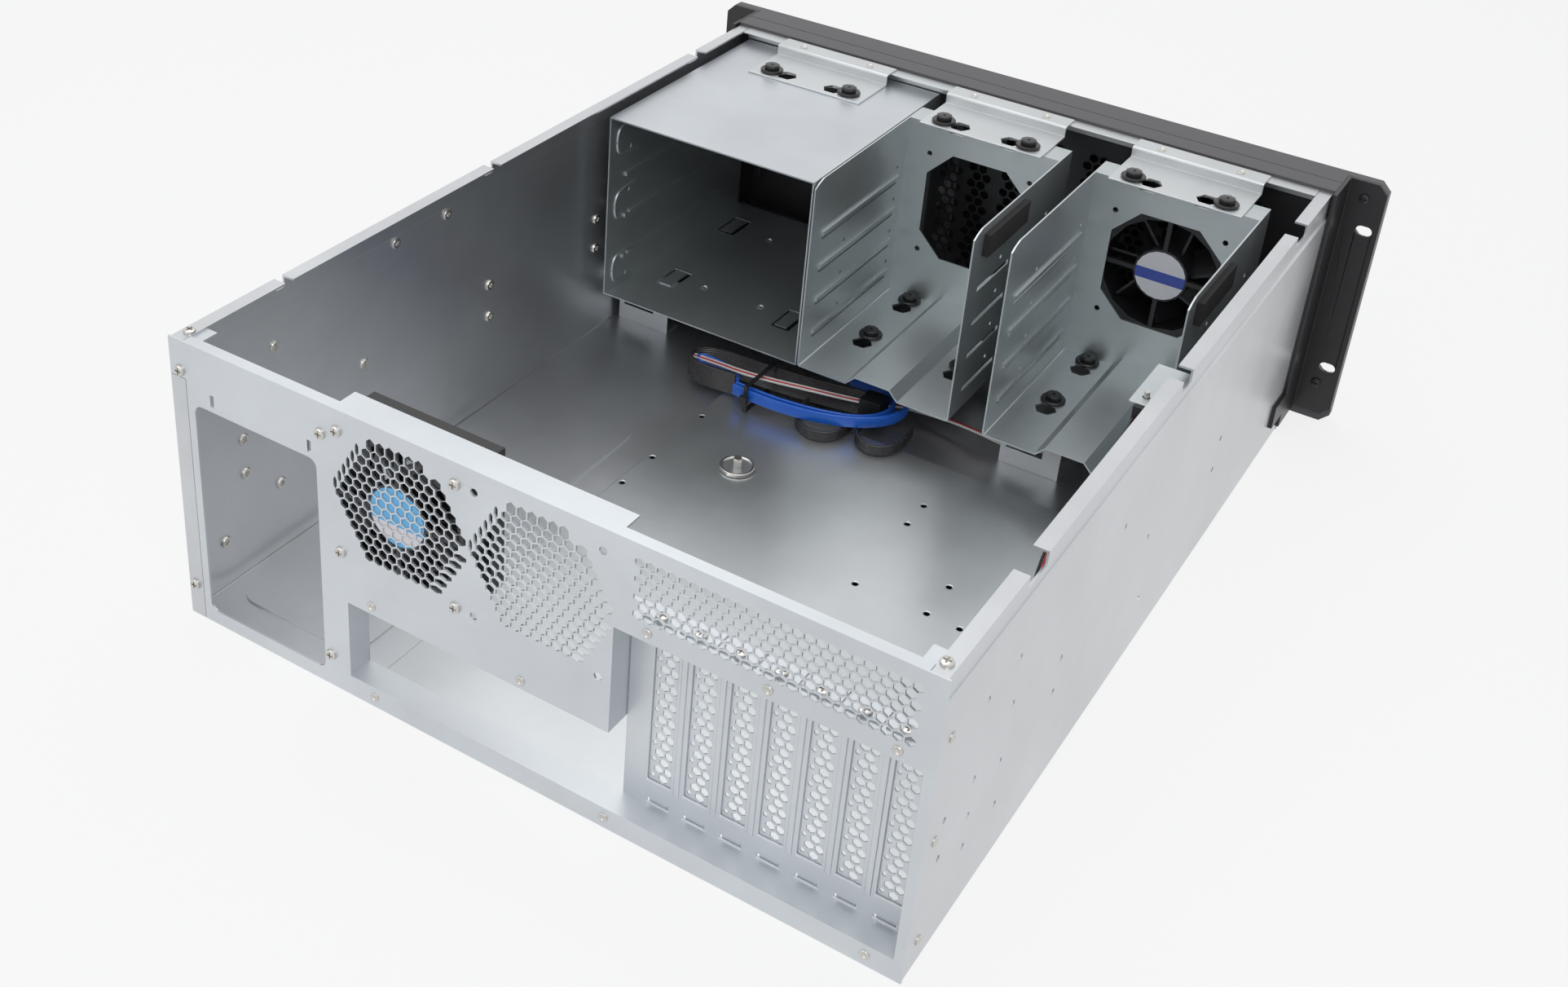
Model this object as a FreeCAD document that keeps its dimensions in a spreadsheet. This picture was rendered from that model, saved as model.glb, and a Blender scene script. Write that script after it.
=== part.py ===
import FreeCAD, Part
import Sketcher
import math
import os
import re

# An open 4U rackmount server chassis of folded steel sheet.
# X runs across the case, +Y points to the rear, +Z up; the origin is at the
# middle of the bottom. Most places are given as a distance from the rear face.

SIZES = {
    # overall case
    "body_width": 430.0,
    "wall_height": 174.0,
    "body_length": 551.0,
    "rear_y": 293.35,
    "sheet": 1.2,
    "bend": 2.0,
    "seat_gap": 0.3,
    # upper band and lip of the side walls
    "band_height": 14.0,
    "band_low": "=wall_height - band_height",
    "band_inset": 1.2,
    "lip": 8.0,
    "notch_drop": 7.0,
    "hole": 4.0,
    "fan_bore": 4.8,
    # rear corner fold of the left wall
    "corner_fold": 10.0,
    "corner_fold_top": 152.0,
    # pressed field of the floor
    "field_left": 10.0,
    "field_right": 96.0,
    "field_back": 22.0,
    "field_front": 294.0,
    "field_rise": 1.2,
    "field_corner": 14.0,
    # power supply opening
    "psu_left": 15.0,
    "psu_right": 96.0,
    "psu_low": 8.5,
    "psu_high": 139.0,
    "psu_corner": 5.0,
    # connector and slot window of the rear panel
    "io_left": 113.0,
    "window_split": 271.0,
    "slot_window_right": 425.0,
    "window_low": 12.5,
    "io_high": 60.0,
    "slot_window_high": 122.6,
    "ledge_depth": 15.0,
    "fan_flange_depth": 25.0,
    "fan_flange_chamfer": 8.0,
    "side_flange_depth": 18.0,
    "top_fold_wide": 24.0,
    "top_fold_narrow": 6.5,
    "top_fold_left": 107.0,
    # fans and their grilles
    "fan_pitch": 71.5,
    "fan_frame": 80.0,
    "fan_depth": 25.0,
    "fan_duct": 38.0,
    "fan_wall": 1.6,
    "fan_flange": 4.0,
    "fan_hub": 18.0,
    "fan_spider": 3.0,
    "fan_axle": 2.0,
    "fan_axle_length": 14.0,
    "fan_recess": 2.0,
    "blade_pitch": 36.0,
    "rear_fan_place": 145.5,
    "second_fan_place": 228.0,
    "fan_drop": 48.0,
    "rear_fan_height": "=wall_height - fan_drop",
    "grille_pitch": 8.5,
    "grille_cell": 7.3,
    "grille_rings": 4.0,
    "strip_left": 282.0,
    "strip_low": 135.0,
    "strip_columns": 13.0,
    "strip_rows": 3.0,
    "strip_pitch": 10.4,
    "strip_cell": 9.0,
    # expansion slots
    "slot_count": 7.0,
    "slot_first": 290.9,
    "slot_pitch": 20.32,
    "slot_width": 12.7,
    "slot_low": 27.4,
    "slot_shelf": 131.0,
    "slot_lip_drop": 7.5,
    "cover_width": 18.4,
    "cover_sheet": 0.9,
    "cover_low": 20.0,
    "cover_tab": 11.4,
    "cover_foot": 10.0,
    # motherboard tray
    "tray_left": 120.0,
    "tray_front": 366.0,
    "tray_top": 7.0,
    "dish_place": 172.0,
    "dish_back": 286.3,
    "dish_radius": 11.0,
    "dish_rise": 1.5,
    # drive cages
    "cage_sheet": 1.0,
    "cage_back": 371.0,
    "bay_cage_front": 547.0,
    "drive_cage_front": 519.0,
    "cage_low": 36.0,
    "cage_drop": 7.0,
    "cage_high": "=wall_height - cage_drop",
    "bay_cage_left": 11.5,
    "bay_cage_width": 151.0,
    "mid_cage_left": 163.3,
    "right_cage_left": 293.7,
    "drive_cage_width": 107.4,
    "fan_wall_back": 499.0,
    "cage_fan_drop": 57.0,
    "cage_fan_height": "=cage_high - cage_fan_drop",
    "octagon_width": 72.0,
    "octagon_height": 77.0,
    "octagon_cut": 17.0,
    "cage_corner": 14.0,
    "ledge_press": 1.5,
    "ledge_height": 3.0,
    "ridge_base": 36.4,
    "ridge_crest": 24.3,
    "ridge_rise": 6.3,
    "ridge_left": 35.4,
    "keyhole_inset": 20.7,
    "keyhole_front": 491.8,
    "keyhole_back": 434.0,
    "keyhole_slide": 12.0,
    "keyhole_entry": 7.2,
    "grommet_bore": 7.0,
    "grommet_radius": 6.5,
    # front structure
    "rail_back": 541.0,
    "rail_drop": 7.0,
    "rail_top": "=wall_height",
    "bracket_length": 86.0,
    "bracket_back": 494.0,
    "bracket_step": 535.0,
    "bracket_sheet": 1.2,
    "bracket_grommets": 60.0,
    "bay_bracket_left": 42.0,
    "mid_bracket_left": 173.0,
    "right_bracket_left": 304.4,
    "grommet_back": 504.0,
    "grommet_flange": 2.2,
    "grommet_crown": 4.6,
    "grommet_hole": 1.5,
    "vent_low": 45.0,
    "vent_pitch": 13.0,
    "vent_slot": 6.0,
    # bezel and ears
    "panel_rise": 2.0,
    "panel_height": "=wall_height + panel_rise",
    "ear_reach": 26.3,
    "panel_width": "=body_width + 2 * ear_reach",
    "bezel_depth": 36.0,
    "bezel_wall": 2.5,
    "wing_depth": 6.5,
    "ear_back": 578.0,
    "ear_sheet": 2.5,
    "ear_flange_back": 545.0,
    "ear_tab_back": 523.0,
    "ear_low": 6.0,
    "ear_corner": 6.0,
    "ear_hole_low": 41.0,
    "ear_hole_high": "=ear_hole_low + 101.6",
    "rack_hole_inset": 8.75,
    "rack_hole_pitch": "=panel_width - 2 * rack_hole_inset",
    "rack_bore": 6.8,
    "rack_slot": 3.4,
    "rack_access": 7.0,
    "bay_left": 12.8,
    "bay_width": 148.5,
    "bay_height": 42.0,
    "bay_low": 38.0,
    "cover_gap": 0.3,
    "grill_left": 178.0,
    "grill_count": 15.0,
    "grill_pitch": 14.0,
    "grill_slot": 7.0,
    "grill_low": 40.0,
    "grill_high": 150.0,
    "button_place": 413.0,
    "button_radius": 5.0,
    "button_length": 9.0,
    "button_travel": 1.5,
    "power_height": 130.0,
    "reset_height": 108.0,
    "usb_low": 52.0,
    "usb_pitch": 14.0,
    "usb_height": 5.5,
    "button_rise": 1.5,
    "board_back": 556.0,
    # lid switch and pads
    "switch_left": 408.0,
    "switch_place": 414.5,
    "switch_back": 266.0,
    "switch_drop": 9.0,
    "switch_top": "=wall_height - switch_drop",
    "plunger_radius": 1.6,
    "plunger_rise": 3.5,
    "foam_depth": 4.0,
    # screws and rivets
    "screw_radius": 3.2,
    "screw_head": 1.8,
    "rivet_radius": 2.6,
    "rivet_head": 0.8,
}

doc = FreeCAD.newDocument("server_case")
sheet = doc.addObject("Spreadsheet::Sheet", "Sizes")
for row, (alias, value) in enumerate(SIZES.items(), start=1):
    sheet.set(f"A{row}", alias)
    sheet.set(f"B{row}", str(value))
    sheet.setAlias(f"B{row}", alias)
doc.recompute()
size = {alias: float(sheet.get(alias)) for alias in SIZES}

PLANE_ROLES = {"xy": "XY_Plane", "xz": "XZ_Plane", "yz": "YZ_Plane"}
AXIS_TURNS = {
    "x": FreeCAD.Rotation(FreeCAD.Vector(0, 1, 0), 90),
    "y": FreeCAD.Rotation(FreeCAD.Vector(1, 0, 0), -90),
    "z": FreeCAD.Rotation(),
}
FAN_SIDES = 16
FAN_BLADES = 7
nodes = []


def linked(text):
    """An expression in which each size name points at its spreadsheet cell."""
    def cell(word):
        return f"Sizes.{word.group()}" if word.group() in size else word.group()
    return re.sub(r"[a-z_]+\b(?!\()", cell, str(text))


def bind(thing, prop, text):
    thing.setExpression(prop, linked(text))


def across(distance):
    """X of a place given by its distance from the left side seen from behind."""
    return f"body_width / 2 - ({distance})"


def back(distance):
    """Y of a place given by its distance from the rear face."""
    return f"rear_y - ({distance})"


def span(low, high, place=None):
    """A pair of expressions, turned by across or back where place is given."""
    if place is None:
        return (str(low), str(high))
    return (place(high), place(low))


def around(middle, half):
    """The span in X on both sides of a place across the case."""
    return span(f"{middle} - {half}", f"{middle} + {half}", across)


def box(name, x, y, z):
    """A block between three pairs of expressions."""
    block = doc.addObject("Part::Box", name)
    for prop, axis, (low, high) in zip(("Length", "Width", "Height"), "xyz", (x, y, z)):
        bind(block, prop, f"({high}) - ({low})")
        bind(block, f"Placement.Base.{axis}", low)
    return block


def rod(name, axis, x, y, z, radius, length):
    """A cylinder along an axis from the point x, y, z."""
    pin = doc.addObject("Part::Cylinder", name)
    pin.Placement = FreeCAD.Placement(FreeCAD.Vector(), AXIS_TURNS[axis])
    bind(pin, "Radius", radius)
    bind(pin, "Height", length)
    for letter, text in zip("xyz", (x, y, z)):
        bind(pin, f"Placement.Base.{letter}", text)
    return pin


def prism(name, axis, x, y, z, radius, length, sides=6):
    """A regular prism along an axis from the point x, y, z."""
    bar = doc.addObject("Part::Prism", name)
    bar.Placement = FreeCAD.Placement(FreeCAD.Vector(), AXIS_TURNS[axis])
    bar.Polygon = sides
    bind(bar, "Circumradius", radius)
    bind(bar, "Height", length)
    for letter, text in zip("xyz", (x, y, z)):
        bind(bar, f"Placement.Base.{letter}", text)
    return bar


def through(x, y, z, axis):
    """The start of a tool that passes the sheet at x, y, z on both sides."""
    middle = {"x": x, "y": y, "z": z}
    middle[axis] = f"({middle[axis]}) - 4 * sheet"
    return middle["x"], middle["y"], middle["z"]


def bore(name, axis, x, y, z, radius):
    """A round hole that takes a screw."""
    return rod(name, axis, *through(x, y, z, axis), radius, "8 * sheet")


def drill(name, axis, x, y, z, radius):
    """A small hole, drawn with six sides because there are so many."""
    return prism(name, axis, *through(x, y, z, axis), radius, "8 * sheet")


def fuse(name, parts):
    joined = doc.addObject("Part::MultiFuse", name)
    joined.Shapes = parts
    joined.Refine = True
    return joined


def cut(name, base, tools):
    """The base with every tool taken out of it."""
    tool = tools[0]
    if len(tools) > 1:
        tool = doc.addObject("Part::Compound", name + "_tools")
        tool.Links = tools
    result = doc.addObject("Part::Cut", name)
    result.Base = base
    result.Tool = tool
    result.Refine = True
    return result


def node(label, thing):
    """Takes an object as the finished sub-part of that name."""
    thing.Label = label
    nodes.append(thing)
    return thing


def section(name, plane, points, start, length, rounds=()):
    """A prism: a closed outline on an origin plane, padded along its normal.

    The points are pairs of expressions in the plane's own two directions, and
    rounds lists (corner numbers, radius) for the bends along the prism.
    """
    body = doc.addObject("PartDesign::Body", name)
    origin = next(f for f in body.Origin.OriginFeatures if f.Role == PLANE_ROLES[plane])
    outline = body.newObject("Sketcher::SketchObject", name + "_outline")
    outline.AttachmentSupport = [(origin, "")]
    outline.MapMode = "FlatFace"
    bind(outline, "AttachmentOffset.Base.z", start)
    count = len(points)
    ring = FreeCAD.Rotation(FreeCAD.Vector(0, 0, 1), 360 / count)
    first = [FreeCAD.Vector(100, 0, 0)]
    for i in range(count - 1):
        first.append(ring.multVec(first[-1]))
    for i in range(count):
        outline.addGeometry(Part.LineSegment(first[i], first[(i + 1) % count]), False)
    for i in range(count):
        outline.addConstraint(Sketcher.Constraint("Coincident", i, 2, (i + 1) % count, 1))
    for i, pair in enumerate(points):
        for kind, text, guess in zip(("DistanceX", "DistanceY"), pair, first[i]):
            number = outline.addConstraint(Sketcher.Constraint(kind, -1, 1, i, 1, guess))
            bind(outline, f"Constraints[{number}]", text)
    pad = body.newObject("PartDesign::Pad", name + "_pad")
    pad.Profile = outline
    bind(pad, "Length", length)
    doc.recompute()
    last = pad
    for step, (corners, radius) in enumerate(rounds):
        places = [outline.Placement.multVec(outline.Geometry[i].StartPoint) for i in corners]
        fillet = body.newObject("PartDesign::Fillet", f"{name}_bend_{step}")
        fillet.Base = (last, edges_through(last.Shape, places, pad.Shape, outline.Placement))
        bind(fillet, "Radius", radius)
        doc.recompute()
        last = fillet
    body.Tip = last
    return body


def edges_through(shape, places, whole, frame):
    """The names of the straight edges along the prism that pass those places."""
    along = frame.Rotation.multVec(FreeCAD.Vector(0, 0, 1))
    names = []
    for number, edge in enumerate(shape.Edges, start=1):
        ends = [vertex.Point for vertex in edge.Vertexes]
        if len(ends) != 2 or abs((ends[1] - ends[0]).normalize().dot(along)) < 0.999:
            continue
        for place in places:
            offset = ends[0] - place
            if (offset - along * offset.dot(along)).Length < 0.01:
                names.append(f"Edge{number}")
    return names


def hexagons(name, centres, y, depth, cell):
    """Hexagonal punches along Y, with a corner up, at (x, z) centres."""
    reach = cell / math.sqrt(3)
    outline = [(reach * math.sin(math.pi * k / 3), reach * math.cos(math.pi * k / 3)) for k in range(7)]
    prisms = []
    for x, z in centres:
        corners = [FreeCAD.Vector(x + dx, y, z + dz) for dx, dz in outline]
        prisms.append(Part.Face(Part.makePolygon(corners)).extrude(FreeCAD.Vector(0, depth, 0)))
    punch = doc.addObject("Part::Feature", name)
    punch.Shape = Part.makeCompound(prisms)
    return punch


def hexagon_field(x, z, rings, pitch):
    """Centres of a honeycomb with a hexagonal outline."""
    centres = []
    for row in range(-rings, rings + 1):
        cells = 2 * rings + 1 - abs(row)
        for i in range(cells):
            centres.append((x + (i - (cells - 1) / 2) * pitch, z + row * pitch * math.sqrt(3) / 2))
    return centres


def holes_through_wall(name, side, places, radius):
    """Holes through a side wall, at (distance from the rear, height)."""
    x = f"{side} * body_width / 2"
    return [drill(f"{name}_{i}", "x", x, back(d), z, radius) for i, (d, z) in enumerate(places)]


# --- chassis tub: floor and both side walls folded from one sheet -------------

def tub_outline():
    """The U of the sheet, outer line first, then back along the inner line."""
    wall = "body_width / 2"
    right = [
        (wall, "0"), (wall, "band_low - band_inset"), (f"{wall} - band_inset", "band_low"),
        (f"{wall} - band_inset", "wall_height"), (f"{wall} - band_inset - lip", "wall_height"),
        (f"{wall} - band_inset - lip", "wall_height - sheet"),
        (f"{wall} - band_inset - sheet", "wall_height - sheet"),
        (f"{wall} - band_inset - sheet", "band_low"), (f"{wall} - sheet", "band_low - band_inset"),
        (f"{wall} - sheet", "sheet"),
    ]
    left = [(f"-({x})", z) for x, z in reversed(right)]
    return right + left


WALL_HOLES = [(52, 127), (87, 99.5), (150, 82), (86, 127), (147, 63), (84, 67), (51, 82), (20.5, 82),
              (51, 60), (87, 38), (51, 41), (20.5, 59.5), (277, 36), (268, 82.5), (218, 119), (386, 60), (389, 80)]
LEFT_WALL_HOLES = [(171, 155), (217, 155), (258, 89), (258, 66.5), (71, 134), (141, 88.5), (374, 88.5),
                   (374, 66.5), (44, 88.5), (44, 66.5), (70, 45.5), (26, 31)]
RIGHT_NOTCHES = [(82, 103), (277, 292), (477, 497)]
LEFT_NOTCHES = [(74, 80), (252, 259), (480, 490)]


def lip_notches(name, side, places):
    """Gaps in the top lip, open to the inside of the case."""
    near = f"{side} * (body_width / 2 - band_inset - lip - 1)"
    far = f"{side} * (body_width / 2 + 1)"
    x = (near, far) if side > 0 else (far, near)
    return [box(f"{name}_{i}", x, span(a, b, back), ("wall_height - notch_drop", "wall_height + 1"))
            for i, (a, b) in enumerate(places)]


def field_prism(name, inset, low, high):
    """The rounded rectangle of the pressed floor field between two heights."""
    block = box(name, span(f"field_left + {inset}", f"field_right - {inset}", across),
                span(f"field_back + {inset}", f"field_front - {inset}", back), (low, high))
    doc.recompute()
    upright = [i for i, edge in enumerate(block.Shape.Edges, start=1)
               if abs(edge.Vertexes[0].Z - edge.Vertexes[-1].Z) > 0.1]
    rounded = doc.addObject("Part::Fillet", name + "_rounded")
    rounded.Base = block
    radius = size["field_corner"]
    rounded.Edges = [(i, radius, radius) for i in upright]
    return rounded


def chassis_tub():
    folded = section("tub_sheet", "xz", tub_outline(), "-(rear_y - sheet)", "body_length - sheet",
                     [([0, 19], "bend"), ([9, 10], "bend - sheet")])
    corner = box("tub_corner_fold", span(0, "corner_fold", across), ("rear_y - sheet", "rear_y"),
                 (0, "corner_fold_top"))
    raised = field_prism("tub_field", "0", "sheet / 2", "sheet + field_rise")
    solid = fuse("tub_solid", [folded, corner, raised])
    tools = [field_prism("tub_field_below", "sheet", "-1", "field_rise")]
    tools += holes_through_wall("tub_right_hole", -1, WALL_HOLES, "hole / 2")
    tools += holes_through_wall("tub_left_hole", 1, LEFT_WALL_HOLES, "hole / 2")
    tools += lip_notches("tub_right_notch", -1, RIGHT_NOTCHES)
    tools += lip_notches("tub_left_notch", 1, LEFT_NOTCHES)
    node("chassis_tub", cut("tub", solid, tools))


# --- rear panel ----------------------------------------------------------------

def grille(name, place):
    """A hexagonal honeycomb in front of a fan, as punches."""
    x = size["body_width"] / 2 - size[place]
    centres = hexagon_field(x, size["rear_fan_height"], int(size["grille_rings"]), size["grille_pitch"])
    return hexagons(name, centres, size["rear_y"] - 3 * size["sheet"], 6 * size["sheet"], size["grille_cell"])


def strip_punches():
    """The staggered cells above the expansion slots."""
    pitch = size["strip_pitch"]
    left = size["body_width"] / 2 - size["strip_left"]
    centres = []
    for row in range(int(size["strip_rows"])):
        for i in range(int(size["strip_columns"]) - row % 2):
            x = left - pitch * (i + 0.5 + 0.5 * (row % 2))
            centres.append((x, size["strip_low"] + pitch * (0.5 + row * math.sqrt(3) / 2)))
    return hexagons("strip_punches", centres, size["rear_y"] - 3 * size["sheet"], 6 * size["sheet"],
                    size["strip_cell"])


def fan_square(place, height):
    """The x and z of the four screws of a fan."""
    half = "fan_pitch / 2"
    return [(f"{across(place)} + {sx} * {half}", f"{height} + {sz} * {half}") for sx in (-1, 1) for sz in (-1, 1)]


def rounded_opening(name, x, z, radius):
    """A rectangular opening along Y through the rear panel, with round corners."""
    block = box(name, x, ("rear_y - 3 * sheet", "rear_y + sheet"), z)
    doc.recompute()
    edges = [i for i, edge in enumerate(block.Shape.Edges, start=1)
             if abs(edge.Vertexes[0].Y - edge.Vertexes[-1].Y) > 0.1]
    rounded = doc.addObject("Part::Fillet", name + "_rounded")
    rounded.Base = block
    rounded.Edges = [(i, size[radius], size[radius]) for i in edges]
    return rounded


def rear_panel():
    face = ("rear_y - sheet", "rear_y")
    inner = "rear_y - sheet"
    plate = box("panel_plate", ("-body_width / 2", "body_width / 2"), face, (0, "wall_height"))
    wide = box("panel_top_fold", span("top_fold_left", "window_split", across),
               span("sheet", "top_fold_wide", back), ("wall_height - sheet", "wall_height"))
    lip_end = "band_inset + lip + seat_gap"
    narrow = box("panel_top_edge", span(lip_end, f"body_width - ({lip_end})", across),
                 span("sheet", "top_fold_narrow", back), ("wall_height - sheet", "wall_height"))
    tabs = [box(f"panel_corner_tab_{i}", x, span("sheet", "side_flange_depth", back),
                ("wall_height - 2 * sheet", "wall_height - sheet"))
            for i, x in enumerate((span("band_inset + sheet", 16, across),
                                   span("body_width - 16", "body_width - band_inset - sheet", across)))]
    flange = box("panel_side_flange", span("body_width - 2 * sheet", "body_width - sheet", across),
                 span("sheet", "side_flange_depth", back), (8, 150))
    ledge = box("panel_ledge", span("io_left", "slot_window_right", across), (back("ledge_depth"), inner),
                ("window_low - sheet", "window_low"))
    io_side = box("panel_io_side", span("io_left - sheet", "io_left", across), (back("ledge_depth"), inner),
                  ("window_low - sheet", "io_high"))
    side = section("panel_fan_flange", "yz",
                   [(inner, "io_high"), (inner, "slot_window_high"), (back("fan_flange_depth"), "slot_window_high"),
                    (back("fan_flange_depth"), "io_high + fan_flange_chamfer"),
                    (back("fan_flange_depth - fan_flange_chamfer"), "io_high")],
                   "body_width / 2 - window_split", "sheet")
    solid = fuse("panel_solid", [plate, wide, narrow, ledge, io_side, side, flange] + tabs)
    tools = [
        rounded_opening("psu_opening", span("psu_left", "psu_right", across), ("psu_low", "psu_high"), "psu_corner"),
        box("io_opening", span("io_left", "window_split", across), face, ("window_low", "io_high")),
        box("slot_opening", span("window_split", "slot_window_right", across), face,
            ("window_low", "slot_window_high")),
        box("corner_clearance", span(-1, "corner_fold + seat_gap", across), face,
            (-1, "corner_fold_top + seat_gap")),
        grille("rear_grille", "rear_fan_place"),
        grille("second_grille", "second_fan_place"),
        strip_punches(),
    ]
    for i, (x, z) in enumerate(fan_square("rear_fan_place", "rear_fan_height")):
        tools.append(drill(f"rear_fan_hole_{i}", "y", x, "rear_y", z, "hole / 2"))
    for i, (x, z) in enumerate(fan_square("second_fan_place", "rear_fan_height")):
        tools.append(bore(f"second_fan_hole_{i}", "y", x, "rear_y", z, "fan_bore / 2"))
    for i, place in enumerate((27.6, 91.8)):
        tools.append(box(f"panel_slot_{i}", span(place - 1.2, place + 1.2, across), face, (142, 149)))
    node("rear_panel", cut("rear_panel_cut", solid, tools))


# --- motherboard tray -----------------------------------------------------------

TRAY_HOLES = [(124, 322), (124, 264.5), (124, 231), (283, 298.5), (283, 321), (284.5, 229.5),
              (329.3, 259), (329.3, 230), (350, 229)]


def motherboard_tray():
    x = span("tray_left", "body_width - 2 * sheet - seat_gap", across)
    y = span("ledge_depth", "tray_front", back)
    plate = box("tray_plate", x, y, ("tray_top - sheet", "tray_top"))
    left = box("tray_left_fold", span("tray_left", "tray_left + sheet", across), y, ("sheet", "tray_top"))
    front = box("tray_front_fold", x, span("tray_front - sheet", "tray_front", back), ("sheet", "tray_top"))
    dish = prism("tray_dish", "z", across("dish_place"), back("dish_back"), "tray_top", "dish_radius", "dish_rise",
                 16)
    solid = fuse("tray_solid", [plate, left, front, dish])
    tools = [drill(f"tray_hole_{i}", "z", across(u), back(d), "tray_top", "hole / 2")
             for i, (u, d) in enumerate(TRAY_HOLES)]
    node("motherboard_tray", cut("tray_cut", solid, tools))


# --- expansion slots -------------------------------------------------------------

def slot_centre(i):
    return f"slot_first + {i} * slot_pitch"


def slot_frame():
    left, right = "window_split + seat_gap", "slot_window_right + 1"
    plate = box("slot_plate", span(left, right, across), span("ledge_depth", "ledge_depth + sheet", back),
                ("tray_top", "slot_shelf"))
    shelf = box("slot_shelf_fold", span(left, right, across), span("sheet", "ledge_depth + sheet", back),
                ("slot_shelf - sheet", "slot_shelf"))
    lip = box("slot_lip", span(left, right, across), span("sheet", "2 * sheet", back),
              ("slot_shelf - slot_lip_drop", "slot_shelf"))
    ribs, tools = [], []
    depth = span("ledge_depth - 2", "ledge_depth + 3", back)
    for i in range(int(size["slot_count"])):
        centre = slot_centre(i)
        ribs.append(box(f"slot_rib_{i}", around(f"{centre} + slot_pitch / 2", "1.5"),
                        span("ledge_depth - 1", "ledge_depth", back), ("slot_low - 2", "slot_shelf - sheet")))
        tools.append(box(f"slot_hole_{i}", around(centre, "slot_width / 2"), depth, ("slot_low", "slot_shelf - 4")))
        tools.append(box(f"slot_foot_{i}", around(centre, "(cover_foot / 2 + 1)"), depth,
                         ("window_low + 1", "window_low + 3.5")))
    solid = fuse("slot_frame_solid", [plate, shelf, lip] + ribs)
    node("slot_frame", cut("slot_frame_cut", solid, tools))


def slot_cover(i):
    """A blanking plate for one expansion slot: blade, screw tab and foot."""
    width = around(slot_centre(i), "cover_width / 2")
    near, far = "ledge_depth + sheet", "ledge_depth + sheet + cover_sheet"
    blade = box(f"cover_blade_{i}", width, span(near, far, back), ("cover_low", "slot_shelf + cover_sheet"))
    tab = box(f"cover_tab_{i}", width, span(f"{far} - cover_tab", far, back),
              ("slot_shelf", "slot_shelf + cover_sheet"))
    foot = box(f"cover_foot_{i}", around(slot_centre(i), "cover_foot / 2"), span(near, far, back),
               ("tray_top + seat_gap", "cover_low"))
    node(f"slot_cover_{i + 1}", fuse(f"cover_{i}", [blade, tab, foot]))


# --- drive cages -----------------------------------------------------------------

def embossed_ledges(name, left, right, low, rows, length):
    """Drive rails pressed out of both walls of a cage, as bars fused to the inner faces."""
    sides = (span(f"{left} + cage_sheet", f"{left} + cage_sheet + ledge_press", across),
             span(f"{right} - cage_sheet - ledge_press", f"{right} - cage_sheet", across))
    bars = []
    for i in range(rows):
        z = f"{low} + {i} * (cage_high - ({low}) - 18) / {rows}"
        bars += [box(f"{name}_ledge_{i}{j}", x, length, (z, f"{z} + ledge_height")) for j, x in enumerate(sides)]
    return bars


def bay_cage():
    """The open box for three wide drive bays."""
    left, right = "bay_cage_left", "bay_cage_left + bay_cage_width"
    y = span("cage_back", "bay_cage_front", back)
    outer = box("bay_cage_outer", span(left, right, across), y, ("cage_low", "cage_high"))
    inner = box("bay_cage_inner", span(f"{left} + cage_sheet", f"{right} - cage_sheet", across),
                span("cage_back - 1", "bay_cage_front + 1", back), ("cage_low + cage_sheet", "cage_high - cage_sheet"))
    shell = cut("bay_cage_shell", outer, [inner])
    bars = embossed_ledges("bay", left, right, "cage_low + 20", 3, span(390, 520, back))
    solid = fuse("bay_cage_solid", [shell] + bars)
    floor_z = ("cage_low - 1", "cage_low + 2")
    tools = [
        box("bay_lance_a", span(24, 38, across), span(498, 524, back), floor_z),
        box("bay_lance_b", span(32, 46, across), span(404, 430, back), floor_z),
        box("bay_lance_c", span(124, 138, across), span(404, 430, back), floor_z),
    ]
    tools += [drill(f"bay_hole_{i}", "z", across(u), back(d), "cage_low", "hole / 2")
              for i, (u, d) in enumerate(((63, 507.5), (63, 419.5), (107, 420.5), (107, 508)))]
    node("drive_cage_525", cut("bay_cage_cut", solid, tools))


def keyhole(name, u, d, toward, z):
    """A mounting hole for a grommet with the wide entry hole beside it."""
    small = drill(name + "_seat", "z", across(u), back(d), z, "grommet_bore / 2")
    entry = drill(name + "_entry", "z", across(f"{u} + {toward} * keyhole_slide"), back(d), z, "keyhole_entry")
    low, high = (u, f"{u} + keyhole_slide") if toward > 0 else (f"{u} - keyhole_slide", u)
    neck = box(name + "_neck", span(low, high, across), (f"{back(d)} - 2", f"{back(d)} + 2"),
               (f"{z} - 3", f"{z} + 3"))
    return [small, entry, neck]


def floor_keyhole(name, u, d, z):
    """A keyhole of a cage floor: the wide entry lies toward the rear."""
    small = drill(name + "_seat", "z", across(u), back(d), z, "grommet_bore / 2")
    entry = drill(name + "_entry", "z", across(u), back(f"{d} - keyhole_slide"), z, "keyhole_entry")
    neck = box(name + "_neck", span(f"{u} - 2", f"{u} + 2", across), span(f"{d} - keyhole_slide", d, back),
               (f"{z} - 3", f"{z} + 3"))
    return [small, entry, neck]


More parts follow.
